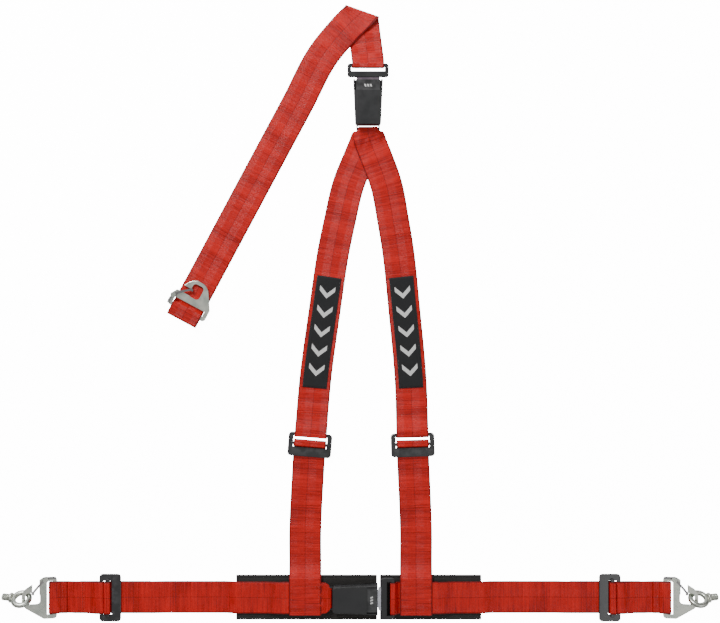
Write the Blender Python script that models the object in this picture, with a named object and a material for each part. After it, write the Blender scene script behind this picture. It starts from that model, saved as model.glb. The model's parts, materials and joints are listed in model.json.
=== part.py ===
"""Three-point racing harness laid flat, as an assembly of separate solids.

Metres, +Z up. The harness lies on the plane z = 0: +X runs along the lap straps, +Y from
the lap straps to the rear strap, and the origin is the centre of the harness's footprint.
Each sub-assembly is modelled in its own frame and placed by an empty, its parent.
"""

import math

import bmesh
import bpy
from mathutils import Matrix, Vector

# Webbing
WEB_WIDTH = 0.050
WEB_THICK = 0.0013
GAP = 0.0003  # left between faces that touch on the real object
LAYER = WEB_THICK + GAP  # height that one more layer of webbing takes
OFFSET = GAP + WEB_THICK / 2  # from a face to the middle of the webbing lying on it
TAIL = 0.045  # length of webbing turned back and sewn
EASE = 0.030  # bend radius where webbing climbs on to something
TURN = OFFSET  # bend radius of webbing round a bar's corner
BAR_EDGE = 0.0008  # rounding of a bar's outer edges

# Places, on the plane
LAP_LINE = -0.4420  # y of the lap straps' centre line
LAP_MOUTH = 0.0275  # x of the lap buckle's mouth
REAR_MOUTH = 0.362  # y of the rear buckle's mouth
REAR_CENTRE = 0.0125  # x of the rear buckle's centre line
HOOK_X = 0.472  # x of the end bars of the two lap hooks
LAP_ADJUSTER_X = 0.3885
SHOULDER_ADJUSTER = (0.0800, -0.2045)  # mean x and y of the two shoulder adjusters
SHOULDER_END_X = 0.0862  # x where the shoulder straps reach the lap straps

# Lap pads
PAD_THICK = 0.004
PAD_WIDTH = 0.070
LEFT_PAD = (-0.193, 0.0265)
RIGHT_PAD = (0.0310, 0.189)

# Buckle, in its own frame: the mouth is at x = 0 and the body runs to -x
SHELL_LENGTH = 0.070
SHELL_HALF_MOUTH = 0.0230
SHELL_HALF_END = 0.0200
SHELL_HEIGHT = 0.020
SHELL_WALL = 0.0015
SHELL_SPLIT = 0.0098
SHELL_EDGE = 0.0016
FRAME_HALF = 0.0182
FRAME_Z = 0.0026
FRAME_THICK = 0.0028
SLOT_HALF = 0.0160
SLOT_LENGTH = 0.0048
END_BAR = 0.0060
NECK_HALF = 0.0150  # half width of the webbing gathered in the buckle's slot
GATHER = 0.016  # length over which it gathers
BUTTON_LENGTH = 0.0172
BUTTON_TRAVEL = 0.004
BUTTON_HALF = 0.0192
ROOF = 0.0016

# Tongue, in the buckle's frame
TONGUE_THICK = 0.0028
BLADE_LENGTH = 0.032
BLADE_HALF = 0.0120
NECK_LENGTH = 0.005
HEAD_HALF = 0.0320
HEAD_BAR = 0.0090
HEAD_SLOT = 0.0070
HEAD_OUTER = 0.0050
HEAD_SKIN = 0.0014
LATCH_HOLE = 0.0090

# Adjusters, in their own frame: +x is the wide bar's side
ADJUSTER_THICK = 0.0035
WIDE_BAR = 0.0140
NARROW_BAR = 0.0055
LAP_ADJUSTER = (0.0335, 0.0740)  # along and across the strap
SHOULDER_FRAME = (0.0370, 0.0680)
LOCK_BAR = (0.0050, 0.0028)
LOCK_TRAVEL = 0.0018

# Snap hook, in its own frame: x = 0 at the end bar's outer edge, the crown at +x
HOOK_LENGTH = 0.053
HOOK_HALF = 0.0325
HOOK_THICK = 0.003
HOOK_BAR = 0.0065
HOOK_SLOT = 0.0085
CROWN_RADIUS = 0.0145
CROWN_STOCK = 0.0055
EYE_HALF = 0.009
EYE_LENGTH = 0.022
PIVOT = (0.0165, 0.0290)
GATE_THICK = 0.002
GATE_WIDTH = 0.0034
RIVET_RADIUS = 0.0020
HOOK_TILT = math.radians(11.5)
HOOK_LIFT = LAYER + 0.0004  # the end bar's underside, above the strap sewn round it

# Eyebolt
RING_RADIUS = 0.01225
RING_STOCK = 0.00425
SHANK_RADIUS = 0.00555
SHANK_LENGTH = 0.0142
RING_LEAN = math.radians(37)
RING_DROOP = math.radians(9)
RING_REACH = 0.0535  # from the hook's end bar to the ring's centre

# Labels
LABEL_WIDTH = 0.038
LABEL_THICK = 0.0008
LABEL_Y = (0.057, -0.116)

MATERIALS = {
    "webbing": ((0.56, 0.03, 0.012), 0.62, 0.0),
    "label": ((0.012, 0.012, 0.014), 0.7, 0.0),
    "pad": ((0.014, 0.014, 0.015), 0.85, 0.0),
    "plastic": ((0.03, 0.03, 0.03), 0.42, 0.0),
    "coated": ((0.018, 0.018, 0.018), 0.35, 0.3),
    "zinc": ((0.62, 0.65, 0.62), 0.3, 1.0),
    "spring": ((0.45, 0.45, 0.46), 0.35, 1.0),
}


# Helpers -------------------------------------------------------------------------------

def material(name):
    """The named Principled material, made on first use."""
    found = bpy.data.materials.get(name)
    if found:
        return found
    colour, roughness, metallic = MATERIALS[name]
    made = bpy.data.materials.new(name)
    made.use_nodes = True
    shader = made.node_tree.nodes["Principled BSDF"]
    shader.inputs["Base Color"].default_value = (*colour, 1.0)
    shader.inputs["Roughness"].default_value = roughness
    shader.inputs["Metallic"].default_value = metallic
    return made


def empty(name, place=Matrix()):
    """A parent that places a sub-assembly."""
    made = bpy.data.objects.new(name, None)
    bpy.context.collection.objects.link(made)
    made.matrix_world = place
    return made


def add(name, mesh, finish, parent=None):
    """Link a mesh as a named object, with its finish and its parent."""
    made = bpy.data.objects.new(name, mesh)
    bpy.context.collection.objects.link(made)
    if finish:
        mesh.materials.append(material(finish))
    made.parent = parent
    return made


def as_mesh(name, bm, smooth=True):
    """Turn a bmesh into a mesh whose faces point out."""
    bmesh.ops.recalc_face_normals(bm, faces=bm.faces)
    mesh = bpy.data.meshes.new(name)
    bm.to_mesh(mesh)
    bm.free()
    if smooth:
        mesh.shade_smooth()
        mesh.set_sharp_from_angle(angle=math.radians(35))
    return mesh


def prism(name, outline, bottom, top, finish=None, parent=None):
    """An outline of (x, y) points drawn up from bottom to top."""
    bm = bmesh.new()
    face = bm.faces.new([bm.verts.new((x, y, bottom)) for x, y in outline])
    drawn = bmesh.ops.extrude_face_region(bm, geom=[face])
    raised = [g for g in drawn["geom"] if isinstance(g, bmesh.types.BMVert)]
    bmesh.ops.translate(bm, verts=raised, vec=(0, 0, top - bottom))
    return add(name, as_mesh(name, bm), finish, parent)


def rod(name, ends, radius, finish=None, parent=None, sides=16, axis="Z", at=(0, 0)):
    """A round bar between two heights along X, Y or Z, through the point at."""
    low, high = ends
    bm = bmesh.new()
    bmesh.ops.create_cone(bm, cap_ends=True, segments=sides, radius1=radius, radius2=radius,
                          depth=high - low)
    turn = {"X": Matrix.Rotation(math.pi / 2, 4, "Y"), "Y": Matrix.Rotation(math.pi / 2, 4, "X"),
            "Z": Matrix()}[axis]
    middle = (low + high) / 2
    place = {"X": (middle, *at), "Y": (at[0], middle, at[1]), "Z": (*at, middle)}[axis]
    bmesh.ops.transform(bm, matrix=Matrix.Translation(place) @ turn, verts=bm.verts)
    return add(name, as_mesh(name, bm), finish, parent)


def box(x, y, radius=0.0, steps=3):
    """The outline of a rectangle over the spans x and y, its corners rounded."""
    corners = [(x[0], y[0]), (x[1], y[0]), (x[1], y[1]), (x[0], y[1])]
    return round_outline(corners, radius, steps) if radius else corners


def arc(corner, before, after, radius, steps):
    """Points of the arc that rounds a corner between its two neighbours."""
    towards, away = (before - corner).normalized(), (after - corner).normalized()
    half = towards.angle(away) / 2
    if half > math.pi / 2 - 0.002:
        return [corner]
    room = 0.49 * min((before - corner).length, (after - corner).length)
    reach = min(radius / math.tan(half), room)
    centre = corner + (towards + away).normalized() * reach / math.cos(half)
    first, last = corner + towards * reach - centre, corner + away * reach - centre
    turn = first.angle_signed(last)
    count = steps or max(2, math.ceil(abs(turn) / math.radians(32)))
    return [centre + Matrix.Rotation(-turn * k / count, 2) @ first for k in range(count + 1)]


def round_outline(corners, radius, steps=3):
    """Round the corners of a closed outline; a corner may carry its own radius."""
    points = [Vector(c[:2]) for c in corners]
    radii = [c[2] if len(c) > 2 else radius for c in corners]
    ring = []
    for k, point in enumerate(points):
        if radii[k]:
            ring += arc(point, points[k - 1], points[(k + 1) % len(points)], radii[k], steps)
        else:
            ring.append(point)
    return [tuple(p) for p in ring]


def round_path(corners, radius):
    """Round the corners of an open path; a corner may carry its own radius."""
    points = [Vector(c[:2]) for c in corners]
    path = [points[0]]
    for k in range(1, len(points) - 1):
        bend = corners[k][2] if len(corners[k]) > 2 else radius
        path += arc(points[k], points[k - 1], points[k + 1], bend, None)
    return path + [points[-1]]


def bevel(target, width, segments=2, angle=40):
    """Round a piece's sharp edges."""
    made = target.modifiers.new("edges", "BEVEL")
    made.width = width
    made.segments = segments
    made.limit_method = "ANGLE"
    made.angle_limit = math.radians(angle)
    return target


def combine(target, tool, operation):
    """Cut a tool out of a piece, or join it on, and hide the tool."""
    made = target.modifiers.new(tool.name, "BOOLEAN")
    made.operation = operation
    made.object = tool
    made.solver = "EXACT"
    tool.hide_render = True
    tool.display_type = "WIRE"
    return target


def cut(target, *tools):
    """Cut tools out of a piece."""
    for tool in tools:
        combine(target, tool, "DIFFERENCE")
    return target


def join(target, *tools):
    """Join tools on to a piece as one body."""
    for tool in tools:
        combine(target, tool, "UNION")
    return target


def slot_tool(name, x, y, z, parent, radius=0.0):
    """A cutter over the spans x, y and z."""
    return prism(name, box(x, y, radius), *z, parent=parent)


def coil(name, start, along, length, turns, radius, wire, finish, parent, spin="X"):
    """A compression or torsion spring as a curve: a helix of round wire."""
    per_turn = 10
    count = int(turns * per_turn)
    data = bpy.data.curves.new(name, "CURVE")
    data.dimensions = "3D"
    data.bevel_depth = wire / 2
    data.bevel_resolution = 1
    data.use_fill_caps = True
    spline = data.splines.new("POLY")
    spline.points.add(count)
    for k in range(count + 1):
        angle = 2 * math.pi * k / per_turn
        run = length * k / count
        round_x, round_y = radius * math.cos(angle), radius * math.sin(angle)
        local = (run, round_x, round_y) if spin == "X" else (round_x, round_y, run)
        spline.points[k].co = (*(Vector(start) + Vector(local) * along), 1.0)
    made = bpy.data.objects.new(name, data)
    bpy.context.collection.objects.link(made)
    data.materials.append(material(finish))
    made.parent = parent
    return made


# Webbing -------------------------------------------------------------------------------

class Route:
    """A smooth line on the plane, read by the distance along it."""

    STEP = 0.004  # between its worked-out points
    NEAR = 0.0015  # how far to each side its direction is read

    def __init__(self, *points):
        knots = [Vector(p) for p in points]
        knots = [knots[0] * 2 - knots[1], *knots, knots[-1] * 2 - knots[-2]]
        line = []
        for a, b, c, d in zip(knots, knots[1:], knots[2:], knots[3:]):
            chord = (c - b).length
            leave = (c - a) * chord / ((b - a).length + chord)
            arrive = (d - b) * chord / ((d - c).length + chord)
            count = max(1, round(chord / self.STEP))
            for k in range(count):
                t = k / count
                line.append(b + (3 * t * t - 2 * t ** 3) * (c - b)
                            + (t - 2 * t * t + t ** 3) * leave + (t ** 3 - t * t) * arrive)
        line.append(knots[-2])
        self.line = line
        self.run = [0.0]
        for a, b in zip(line, line[1:]):
            self.run.append(self.run[-1] + (b - a).length)
        self.length = self.run[-1]

    def point(self, run):
        """The point at a distance; straight on past both ends."""
        k = sum(1 for r in self.run[1:-1] if r <= run)
        share = (run - self.run[k]) / (self.run[k + 1] - self.run[k])
        return self.line[k].lerp(self.line[k + 1], share)

    def at(self, run):
        """The point at a distance, and the direction there."""
        return self.point(run), (self.point(run + self.NEAR) - self.point(run - self.NEAR)).normalized()

    def run_at(self, y):
        """The distance along the line at which it reaches a y."""
        for k, (a, b) in enumerate(zip(self.line, self.line[1:])):
            if min(a.y, b.y) <= y <= max(a.y, b.y):
                return self.run[k] + (y - a.y) / (b.y - a.y) * (self.run[k + 1] - self.run[k])
        raise ValueError(f"the line never reaches y = {y}")


def straight(start, end):
    """A straight route."""
    return Route(start, end)


SHORTEST = 0.0003  # sections closer than this would cross on a tight bend


def stations(route, path, width, step=0.026):
    """Sections of webbing: its middle, its half width and its direction, along a route.

    path holds (distance along the route, height) points; width is a number or a function of
    the distance along the route.
    """
    fine = [path[0]]
    for a, b in zip(path, path[1:]):
        if (b - a).length < SHORTEST:
            continue
        count = max(1, math.ceil((b - a).length / step))
        fine += [a.lerp(b, k / count) for k in range(1, count + 1)]
    made = []
    for k, point in enumerate(fine):
        back, ahead = fine[max(k - 1, 0)], fine[min(k + 1, len(fine) - 1)]
        one = (point - back).normalized() if k else (ahead - point).normalized()
        two = (ahead - point).normalized() if k + 1 < len(fine) else one
        run, rise = (one + two).normalized()
        place, heading = route.at(point.x)
        half = (width(point.x) if callable(width) else width) / 2
        across = Vector((-heading.y, heading.x, 0)) * half
        made.append((Vector((place.x, place.y, point.y)), across,
                     Vector((heading.x * run, heading.y * run, rise))))
    return made


def ribbon(name, sections, thick, finish="webbing", parent=None):
    """A flat band through sections of (middle, half width, direction)."""
    bm = bmesh.new()
    rings = []
    for middle, across, heading in sections:
        up = across.cross(heading).normalized() * thick / 2
        corners = (middle - across - up, middle + across - up, middle + across + up,
                   middle - across + up)
        rings.append([bm.verts.new(c) for c in corners])
    for a, b in zip(rings, rings[1:]):
        for k in range(4):
            bm.faces.new((a[k], a[(k + 1) % 4], b[(k + 1) % 4], b[k]))
    bm.faces.new(rings[0])
    bm.faces.new(rings[-1])
    return add(name, as_mesh(name, bm), finish, parent)


def gathered(end):
    """Webbing width by the distance from a buckle's slot at end: narrow there, full away."""
    def width(run):
        share = min(max((run - end) / GATHER, 0.0), 1.0)
        share = math.sqrt(1 - (1 - share) ** 2)
        return 2 * NECK_HALF + (WEB_WIDTH - 2 * NECK_HALF) * share
    return width


# Buckle and tongue ---------------------------------------------------------------------

def shell_outline(inset):
    """The buckle's plan: it narrows from the mouth to the strap's end."""
    far, near = -SHELL_LENGTH + inset, -inset
    wide, slim = SHELL_HALF_MOUTH - inset, SHELL_HALF_END - inset
    corner = max(0.0045 - inset, 0.001)
    return round_outline([(far, -slim, corner), (near, -wide, corner / 3),
                          (near, wide, corner / 3), (far, slim, corner)], corner)


FRAME_TOP = FRAME_Z + FRAME_THICK
TONGUE_Z = FRAME_TOP + 0.0004
SLOT_INNER = -SHELL_LENGTH + 0.0018
BAR_INNER = SLOT_INNER - SLOT_LENGTH
BAR_OUTER = BAR_INNER - END_BAR
LATCH_Z = TONGUE_Z + TONGUE_THICK + 0.0016
STEM_Z = (LATCH_Z + 0.0013, LATCH_Z + 0.0043)
BUTTON_TOP = SHELL_HEIGHT - ROOF - 0.0004
EJECTOR_X = (-BLADE_LENGTH - 0.0124, -BLADE_LENGTH - 0.0004)
LATCH_FOOT = (-0.0640, -0.0575)


def buckle(prefix, place):
    """Push-button buckle: shells, frame, latch, ejector, springs, button and rivet."""
    home = empty(prefix + "_place", place)
    inner = [p + "_" + prefix for p in ("tub", "mouth", "tail", "lid", "front")]
    lower = prism(prefix + "_lower_shell", shell_outline(0), 0, SHELL_SPLIT - GAP / 2,
                  "plastic", home)
    bevel(lower, SHELL_EDGE / 2)
    cut(lower,
        prism(inner[0], shell_outline(SHELL_WALL), SHELL_WALL, SHELL_HEIGHT, parent=home),
        slot_tool(inner[1], (-0.004, 0.002), (-0.0145, 0.0145),
                  (TONGUE_Z - 0.0005, SHELL_HEIGHT), home),
        slot_tool(inner[2], (-SHELL_LENGTH - 0.002, -SHELL_LENGTH + 0.004),
                  (-FRAME_HALF - GAP, FRAME_HALF + GAP), (FRAME_Z - GAP, FRAME_TOP + GAP), home))
    upper = prism(prefix + "_upper_shell", shell_outline(0), SHELL_SPLIT + GAP / 2,
                  SHELL_HEIGHT, "plastic", home)
    bevel(upper, SHELL_EDGE)
    roof_end = -BUTTON_LENGTH
    cut(upper,
        prism(inner[3], shell_outline(SHELL_WALL + 0.0004), 0, SHELL_HEIGHT - ROOF, parent=home),
        slot_tool(inner[4], (roof_end, 0.002), (-BUTTON_HALF - 0.0010, BUTTON_HALF + 0.0010),
                  (0, SHELL_HEIGHT + 0.002), home))
    stop = -0.0385
    join(upper, slot_tool("rib_" + prefix, (stop - 0.0015, stop), (-0.005, 0.005),
                          (STEM_Z[0], SHELL_HEIGHT - ROOF / 2), home))

    button = prism(prefix + "_button", box((-BUTTON_LENGTH - 0.0015, -0.0004),
                                           (-BUTTON_HALF, BUTTON_HALF), 0.0012),
                   STEM_Z[0], BUTTON_TOP, "plastic", home)
    bevel(button, 0.0006)
    join(button, slot_tool("stem_" + prefix, (-0.0300, -BUTTON_LENGTH), (-0.006, 0.006),
                           (STEM_Z[0] + 0.0002, STEM_Z[1]), home))
    middle = (STEM_Z[0] + STEM_Z[1]) / 2
    coil(prefix + "_button_spring", (-0.0306, 0, middle), -1, 0.0074, 4, 0.0014, 0.0005,
         "spring", home)

    frame = prism(prefix + "_frame", box((BAR_OUTER, -0.0045), (-FRAME_HALF, FRAME_HALF), 0.003),
                  FRAME_Z, FRAME_TOP, "coated", home)
    bevel(frame, BAR_EDGE)
    cut(frame,
        slot_tool("slot_" + prefix, (BAR_INNER, SLOT_INNER), (-SLOT_HALF, SLOT_HALF),
                  (0, SHELL_HEIGHT), home),
        slot_tool("window_" + prefix, (-0.0275, -0.0170), (-0.0080, 0.0080),
                  (0, SHELL_HEIGHT), home))
    foot = sum(LATCH_FOOT) / 2
    rod("rivet_hole_" + prefix, (0, SHELL_HEIGHT), 0.0020, parent=home, at=(foot, 0))
    combine(frame, bpy.data.objects["rivet_hole_" + prefix], "DIFFERENCE")

    foot_z = FRAME_TOP + GAP + 0.0005
    bend = [(LATCH_FOOT[0], foot_z), (LATCH_FOOT[1], foot_z), (-0.0535, LATCH_Z + 0.0005),
            (-0.0225, LATCH_Z + 0.0005), (-0.0225, TONGUE_Z + 0.0004)]
    spine = straight((0, 0), (-0.01, 0))
    flat = [Vector((-x, z)) for x, z in bend]
    leaf = ribbon(prefix + "_latch",
                  stations(spine, round_path(flat, 0.0008), 0.0120, step=0.05), 0.001,
                  "spring", home)
    cut(leaf, bpy.data.objects["rivet_hole_" + prefix])
    pin = rod(prefix + "_rivet", (FRAME_Z - 0.0005, FRAME_TOP + 0.0022), 0.0017, "zinc", home,
              sides=12, at=(foot, 0))
    join(pin,
         rod("rivet_low_" + prefix, (FRAME_Z - 0.0008, FRAME_Z - GAP), 0.0030, parent=home,
             sides=12, at=(foot, 0)),
         rod("rivet_top_" + prefix, (FRAME_TOP + 0.0017, FRAME_TOP + 0.0027), 0.0030,
             parent=home, sides=12, at=(foot, 0)))

    ejector = prism(prefix + "_ejector", box(EJECTOR_X, (-0.0080, 0.0080), 0.001), TONGUE_Z,
                    TONGUE_Z + TONGUE_THICK, "plastic", home)
    bevel(ejector, 0.0004, 1)
    coil(prefix + "_ejector_spring", (EJECTOR_X[0] - GAP - 0.0003, 0, TONGUE_Z + 0.0014), -1,
         0.0076, 4, 0.0012, 0.0005, "spring", home)


def tongue(prefix, place):
    """Steel tongue with a moulded head that the strap turns round."""
    home = empty(prefix + "_tongue_place", place)
    corners = [(-BLADE_LENGTH, -0.006, 0.002), (-BLADE_LENGTH + 0.005, -BLADE_HALF, 0.003),
               (0.0002, -BLADE_HALF, 0.0015), (0.0010, -0.0180, 0.002),
               (NECK_LENGTH + 0.006, -0.0180, 0), (NECK_LENGTH + 0.006, 0.0180, 0),
               (0.0010, 0.0180, 0.002), (0.0002, BLADE_HALF, 0.0015),
               (-BLADE_LENGTH + 0.005, BLADE_HALF, 0.003), (-BLADE_LENGTH, 0.006, 0.002)]
    top = TONGUE_Z + TONGUE_THICK
    blade = prism(prefix + "_tongue_plate", round_outline(corners, 0.002, 2), TONGUE_Z, top,
                  "zinc", home)
    hole = -0.0270
    cut(blade, slot_tool("latch_hole_" + prefix, (hole, hole + LATCH_HOLE), (-0.0075, 0.0075),
                         (0, SHELL_HEIGHT), home))
    start = NECK_LENGTH
    slot = (start + HEAD_BAR, start + HEAD_BAR + HEAD_SLOT)
    head = prism(prefix + "_tongue_head",
                 box((start, slot[1] + HEAD_OUTER), (-HEAD_HALF, HEAD_HALF), 0.004),
                 TONGUE_Z - HEAD_SKIN, top + HEAD_SKIN, "plastic", home)
    bevel(head, BAR_EDGE)
    cut(head,
        slot_tool("head_slot_" + prefix, slot, (-0.0262, 0.0262), (0, SHELL_HEIGHT), home),
        slot_tool("head_pocket_" + prefix, (start - 0.001, start + 0.006 + GAP),
                  (-0.0180 - GAP, 0.0180 + GAP), (TONGUE_Z - GAP, top + GAP), home))


# Adjusters -----------------------------------------------------------------------------

def adjuster_spans(size):
    """The window's and the bars' places along the strap, for a frame of this size."""
    half = size[0] / 2
    window = (-half + NARROW_BAR, half - WIDE_BAR)
    lock = (window[1] - 0.0036 - LOCK_BAR[0], window[1] - 0.0036)
    return window, lock


ADJUSTER_Z = 2 * LAYER  # the frame lies on the strap and its tail


def adjuster(prefix, size, place):
    """Slide adjuster: a frame and a locking bar that slides on its side rails."""
    home = empty(prefix + "_place", place)
    window, lock = adjuster_spans(size)
    half, wide = size[0] / 2, size[1] / 2
    frame = prism(prefix + "_frame", box((-half, half), (-wide, wide), 0.005), ADJUSTER_Z,
                  ADJUSTER_Z + ADJUSTER_THICK, "coated", home)
    bevel(frame, BAR_EDGE)
    cut(frame, slot_tool("window_" + prefix, window, (-0.0265, 0.0265), (0, 0.05), home, 0.001))
    bar_z = ADJUSTER_Z + ADJUSTER_THICK + GAP
    bar = prism(prefix + "_lock_bar", box(lock, (-0.0300, 0.0300), 0.0015), bar_z,
                bar_z + LOCK_BAR[1], "coated", home)
    bevel(bar, BAR_EDGE)


def lock_turn(size):
    """Path of webbing that comes in under the wide bar and turns round the locking bar.

    It runs from the tail, under the strap, to the strap; distances grow towards the wide bar.
    """
    lock = adjuster_spans(size)[1]
    low = ADJUSTER_Z - OFFSET
    top = ADJUSTER_Z + ADJUSTER_THICK + GAP + LOCK_BAR[1] + OFFSET
    left = lock[0] - OFFSET - LOCK_TRAVEL
    right = lock[1] + OFFSET
    tail_end = size[0] / 2 + TAIL
    return [(tail_end, low - LAYER), (left, low - LAYER, TURN), (left, top, TURN),
            (right, top, TURN), (right, low, TURN), (tail_end + 0.006, low, EASE),
            (tail_end + 0.022, WEB_THICK / 2, EASE)]


def narrow_turn(size):
    """Path of webbing sewn round the narrow bar, from its tail underneath to the strap."""
    bar = -size[0] / 2 + NARROW_BAR
    low, top = ADJUSTER_Z - OFFSET, ADJUSTER_Z + ADJUSTER_THICK + OFFSET
    inner = bar + OFFSET
    away = -size[0] / 2 - 0.004
    return [(away - TAIL * 0.6, WEB_THICK / 2), (away, WEB_THICK / 2, EASE),
            (away + 0.003, low - LAYER * 0.5, EASE), (inner, low, TURN), (inner, top, TURN),
            (away, top, 0.008), (away - 0.018, WEB_THICK / 2 + LAYER, EASE),
            (away - TAIL * 0.6 - 0.006, WEB_THICK / 2 + LAYER, EASE),
            (away - TAIL * 0.6 - 0.020, WEB_THICK / 2, EASE)]


# Snap hooks and eyebolts ---------------------------------------------------------------

def hook(prefix, place, hand):
    """Snap hook: plate, gate, rivet and gate spring. hand is the side the gate is on."""
    home = empty(prefix + "_place", place)
    crown = HOOK_LENGTH - CROWN_RADIUS
    side = [(0, HOOK_HALF, 0.005), (0.0200, HOOK_HALF, 0.006),
            (crown + CROWN_RADIUS * math.sin(0.75), CROWN_RADIUS * math.cos(0.75) + 0.004, 0.012),
            (HOOK_LENGTH, 0.0062, 0.009)]
    outline = round_outline([(x, -y, r) for x, y, r in side] + side[::-1], 0.005, 4)
    plate = prism(prefix + "_plate", outline, 0, HOOK_THICK, "zinc", home)
    bevel(plate, BAR_EDGE)
    eye = (HOOK_LENGTH - CROWN_STOCK - EYE_LENGTH, HOOK_LENGTH - CROWN_STOCK)
    mouth = (eye[0] + 0.0010, eye[0] + 0.0115)
    cut(plate,
        slot_tool("strap_slot_" + prefix, (HOOK_BAR, HOOK_BAR + HOOK_SLOT), (-0.026, 0.026),
                  (-0.01, 0.01), home),
        slot_tool("eye_" + prefix, eye, (-EYE_HALF, EYE_HALF), (-0.01, 0.01), home, 0.005),
        slot_tool("mouth_" + prefix, mouth, sorted((hand * 0.004, hand * 0.034)),
                  (-0.01, 0.01), home, 0.001),
        rod("pivot_hole_" + prefix, (-0.01, 0.01), RIVET_RADIUS + GAP, parent=home,
            at=(PIVOT[0], hand * PIVOT[1])))

    pivot = empty(prefix + "_pivot", Matrix())
    pivot.parent = home
    pivot.location = (PIVOT[0], hand * PIVOT[1], 0)
    gate_z = (HOOK_THICK + GAP, HOOK_THICK + GAP + GATE_THICK)
    tip = (0.0375 - PIVOT[0], hand * (0.0068 - PIVOT[1]))
    lever = Route((-0.0150, hand * 0.0018), (-0.0075, hand * 0.0026), (0.0, 0.0),
                  (0.0085, hand * -0.0072), tip)
    flat = [Vector((0, sum(gate_z) / 2)), Vector((lever.length, sum(gate_z) / 2))]
    gate = ribbon(prefix + "_gate", stations(lever, flat, GATE_WIDTH, step=0.005), GATE_THICK,
                  "zinc", pivot)
    join(gate,
         rod("gate_eye_" + prefix, gate_z, 0.0044, parent=pivot),
         prism("gate_lip_" + prefix, box((tip[0] - 0.0034, tip[0] - 0.0004),
                                         sorted((tip[1] - hand * 0.0016, tip[1] + hand * 0.0016))),
               0.0004, gate_z[0] + 0.001, parent=pivot))
    cut(gate, rod("gate_hole_" + prefix, (0, 0.02), RIVET_RADIUS + GAP, parent=pivot))

    spring_z = gate_z[1] + 0.0006
    coil(prefix + "_gate_spring", (0, 0, spring_z), 1, 0.0018, 2.5, 0.0031, 0.0006, "spring",
         pivot, spin="Z")
    head_z = spring_z + 0.0024
    rivet = rod(prefix + "_rivet", (-0.0006, head_z + 0.0005), RIVET_RADIUS, "zinc", home,
                sides=12, at=(PIVOT[0], hand * PIVOT[1]))
    join(rivet,
         rod("head_low_" + prefix, (-0.0013, -GAP), 0.0032, parent=home, sides=12,
             at=(PIVOT[0], hand * PIVOT[1])),
         rod("head_top_" + prefix, (head_z, head_z + 0.0011), 0.0042, parent=home, sides=12,
             at=(PIVOT[0], hand * PIVOT[1])))


def eyebolt(name, place, lean):
    """Forged eyebolt; its ring leans about the shank and the shank droops in the ring's plane."""
    bm = bmesh.new()
    sides, around = 10, 28
    rings = []
    for k in range(around):
        angle = 2 * math.pi * k / around
        ring = []
        for m in range(sides):
            turn = 2 * math.pi * m / sides
            reach = RING_RADIUS + RING_STOCK * math.cos(turn)
            ring.append(bm.verts.new((reach * math.cos(angle), RING_STOCK * math.sin(turn),
                                      reach * math.sin(angle))))
        rings.append(ring)
    for k, ring in enumerate(rings):
        after = rings[(k + 1) % around]
        for m in range(sides):
            n = (m + 1) % sides
            bm.faces.new((ring[m], ring[n], after[n], after[m]))
    home = empty(name + "_place", place @ Matrix.Rotation(lean, 4, "X")
                 @ Matrix.Rotation(RING_DROOP, 4, "Y"))
    ring = add(name, as_mesh(name, bm), "zinc", home)
    outer = RING_RADIUS + RING_STOCK
    join(ring,
         rod("collar_" + name, (outer - 0.0022, outer + 0.0020), 0.0078, parent=home, axis="X"),
         rod("shank_" + name, (outer, outer + SHANK_LENGTH), SHANK_RADIUS, parent=home,
             axis="X"))
    return ring


# Harness -------------------------------------------------------------------------------

def lap_place(x, side):
    """The frame of something on the lap line whose +x points away from the middle."""
    return Matrix.Translation((x, LAP_LINE, 0)) @ Matrix.Rotation(0 if side > 0 else math.pi, 4, "Z")


def hook_place(side):
    """The frame of a lap hook: raised at the crown, where the eyebolt's ring holds it."""
    lift = Matrix.Translation((0, 0, HOOK_LIFT))
    return lap_place(side * HOOK_X, side) @ lift @ Matrix.Rotation(-HOOK_TILT, 4, "Y")


def hook_turn():
    """Path of webbing sewn round a lap hook's end bar: tail on top, strap underneath.

    Distances grow away from the middle, from the end bar's outer edge.
    """
    sine, cosine = math.sin(HOOK_TILT), math.cos(HOOK_TILT)

    def tilted(x, z, bend):
        return (x * cosine - z * sine, HOOK_LIFT + x * sine + z * cosine, bend)

    low, high = WEB_THICK / 2, WEB_THICK / 2 + LAYER
    crest = HOOK_BAR + 0.0055
    return [(-0.016, high), (-0.0075, high, 0.006), tilted(-0.0005, HOOK_THICK + OFFSET, 0.004),
            tilted(crest, HOOK_THICK + OFFSET, 0.0024), tilted(crest, -OFFSET, 0.0024),
            tilted(0.0, -OFFSET, EASE), (-0.006, low, EASE)]


def stack(level):
    """Height of the middle of a layer of webbing on the pads, counted from 0."""
    return PAD_THICK + OFFSET + level * LAYER


SHOULDER_HALF = WEB_WIDTH / 2 + 0.004


def lap_strap(name, side, near, near_turn):
    """Lap strap from its adjuster to the buckle or tongue, whose turn and x are given."""
    outward = straight((0, LAP_LINE), (side * 0.1, LAP_LINE))
    size = LAP_ADJUSTER
    turn = [(LAP_ADJUSTER_X - x, z, *bend) for x, z, *bend in lock_turn(size)]
    pad_end = -LEFT_PAD[0] if side < 0 else RIGHT_PAD[1]
    cross = SHOULDER_END_X
    climb = [(pad_end + 0.014, WEB_THICK / 2, EASE), (pad_end, stack(0), EASE),
             (cross + SHOULDER_HALF + 0.030, stack(0), EASE),
             (cross + SHOULDER_HALF + 0.010, stack(2), EASE), (near + 0.0064, stack(2), 0.003)]
    path = [Vector(p) for p in round_path(turn + climb + near_turn, TURN)]
    slim = gathered(near - 0.005) if side < 0 else WEB_WIDTH
    ribbon(name, stations(outward, path, slim), WEB_THICK)


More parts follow.
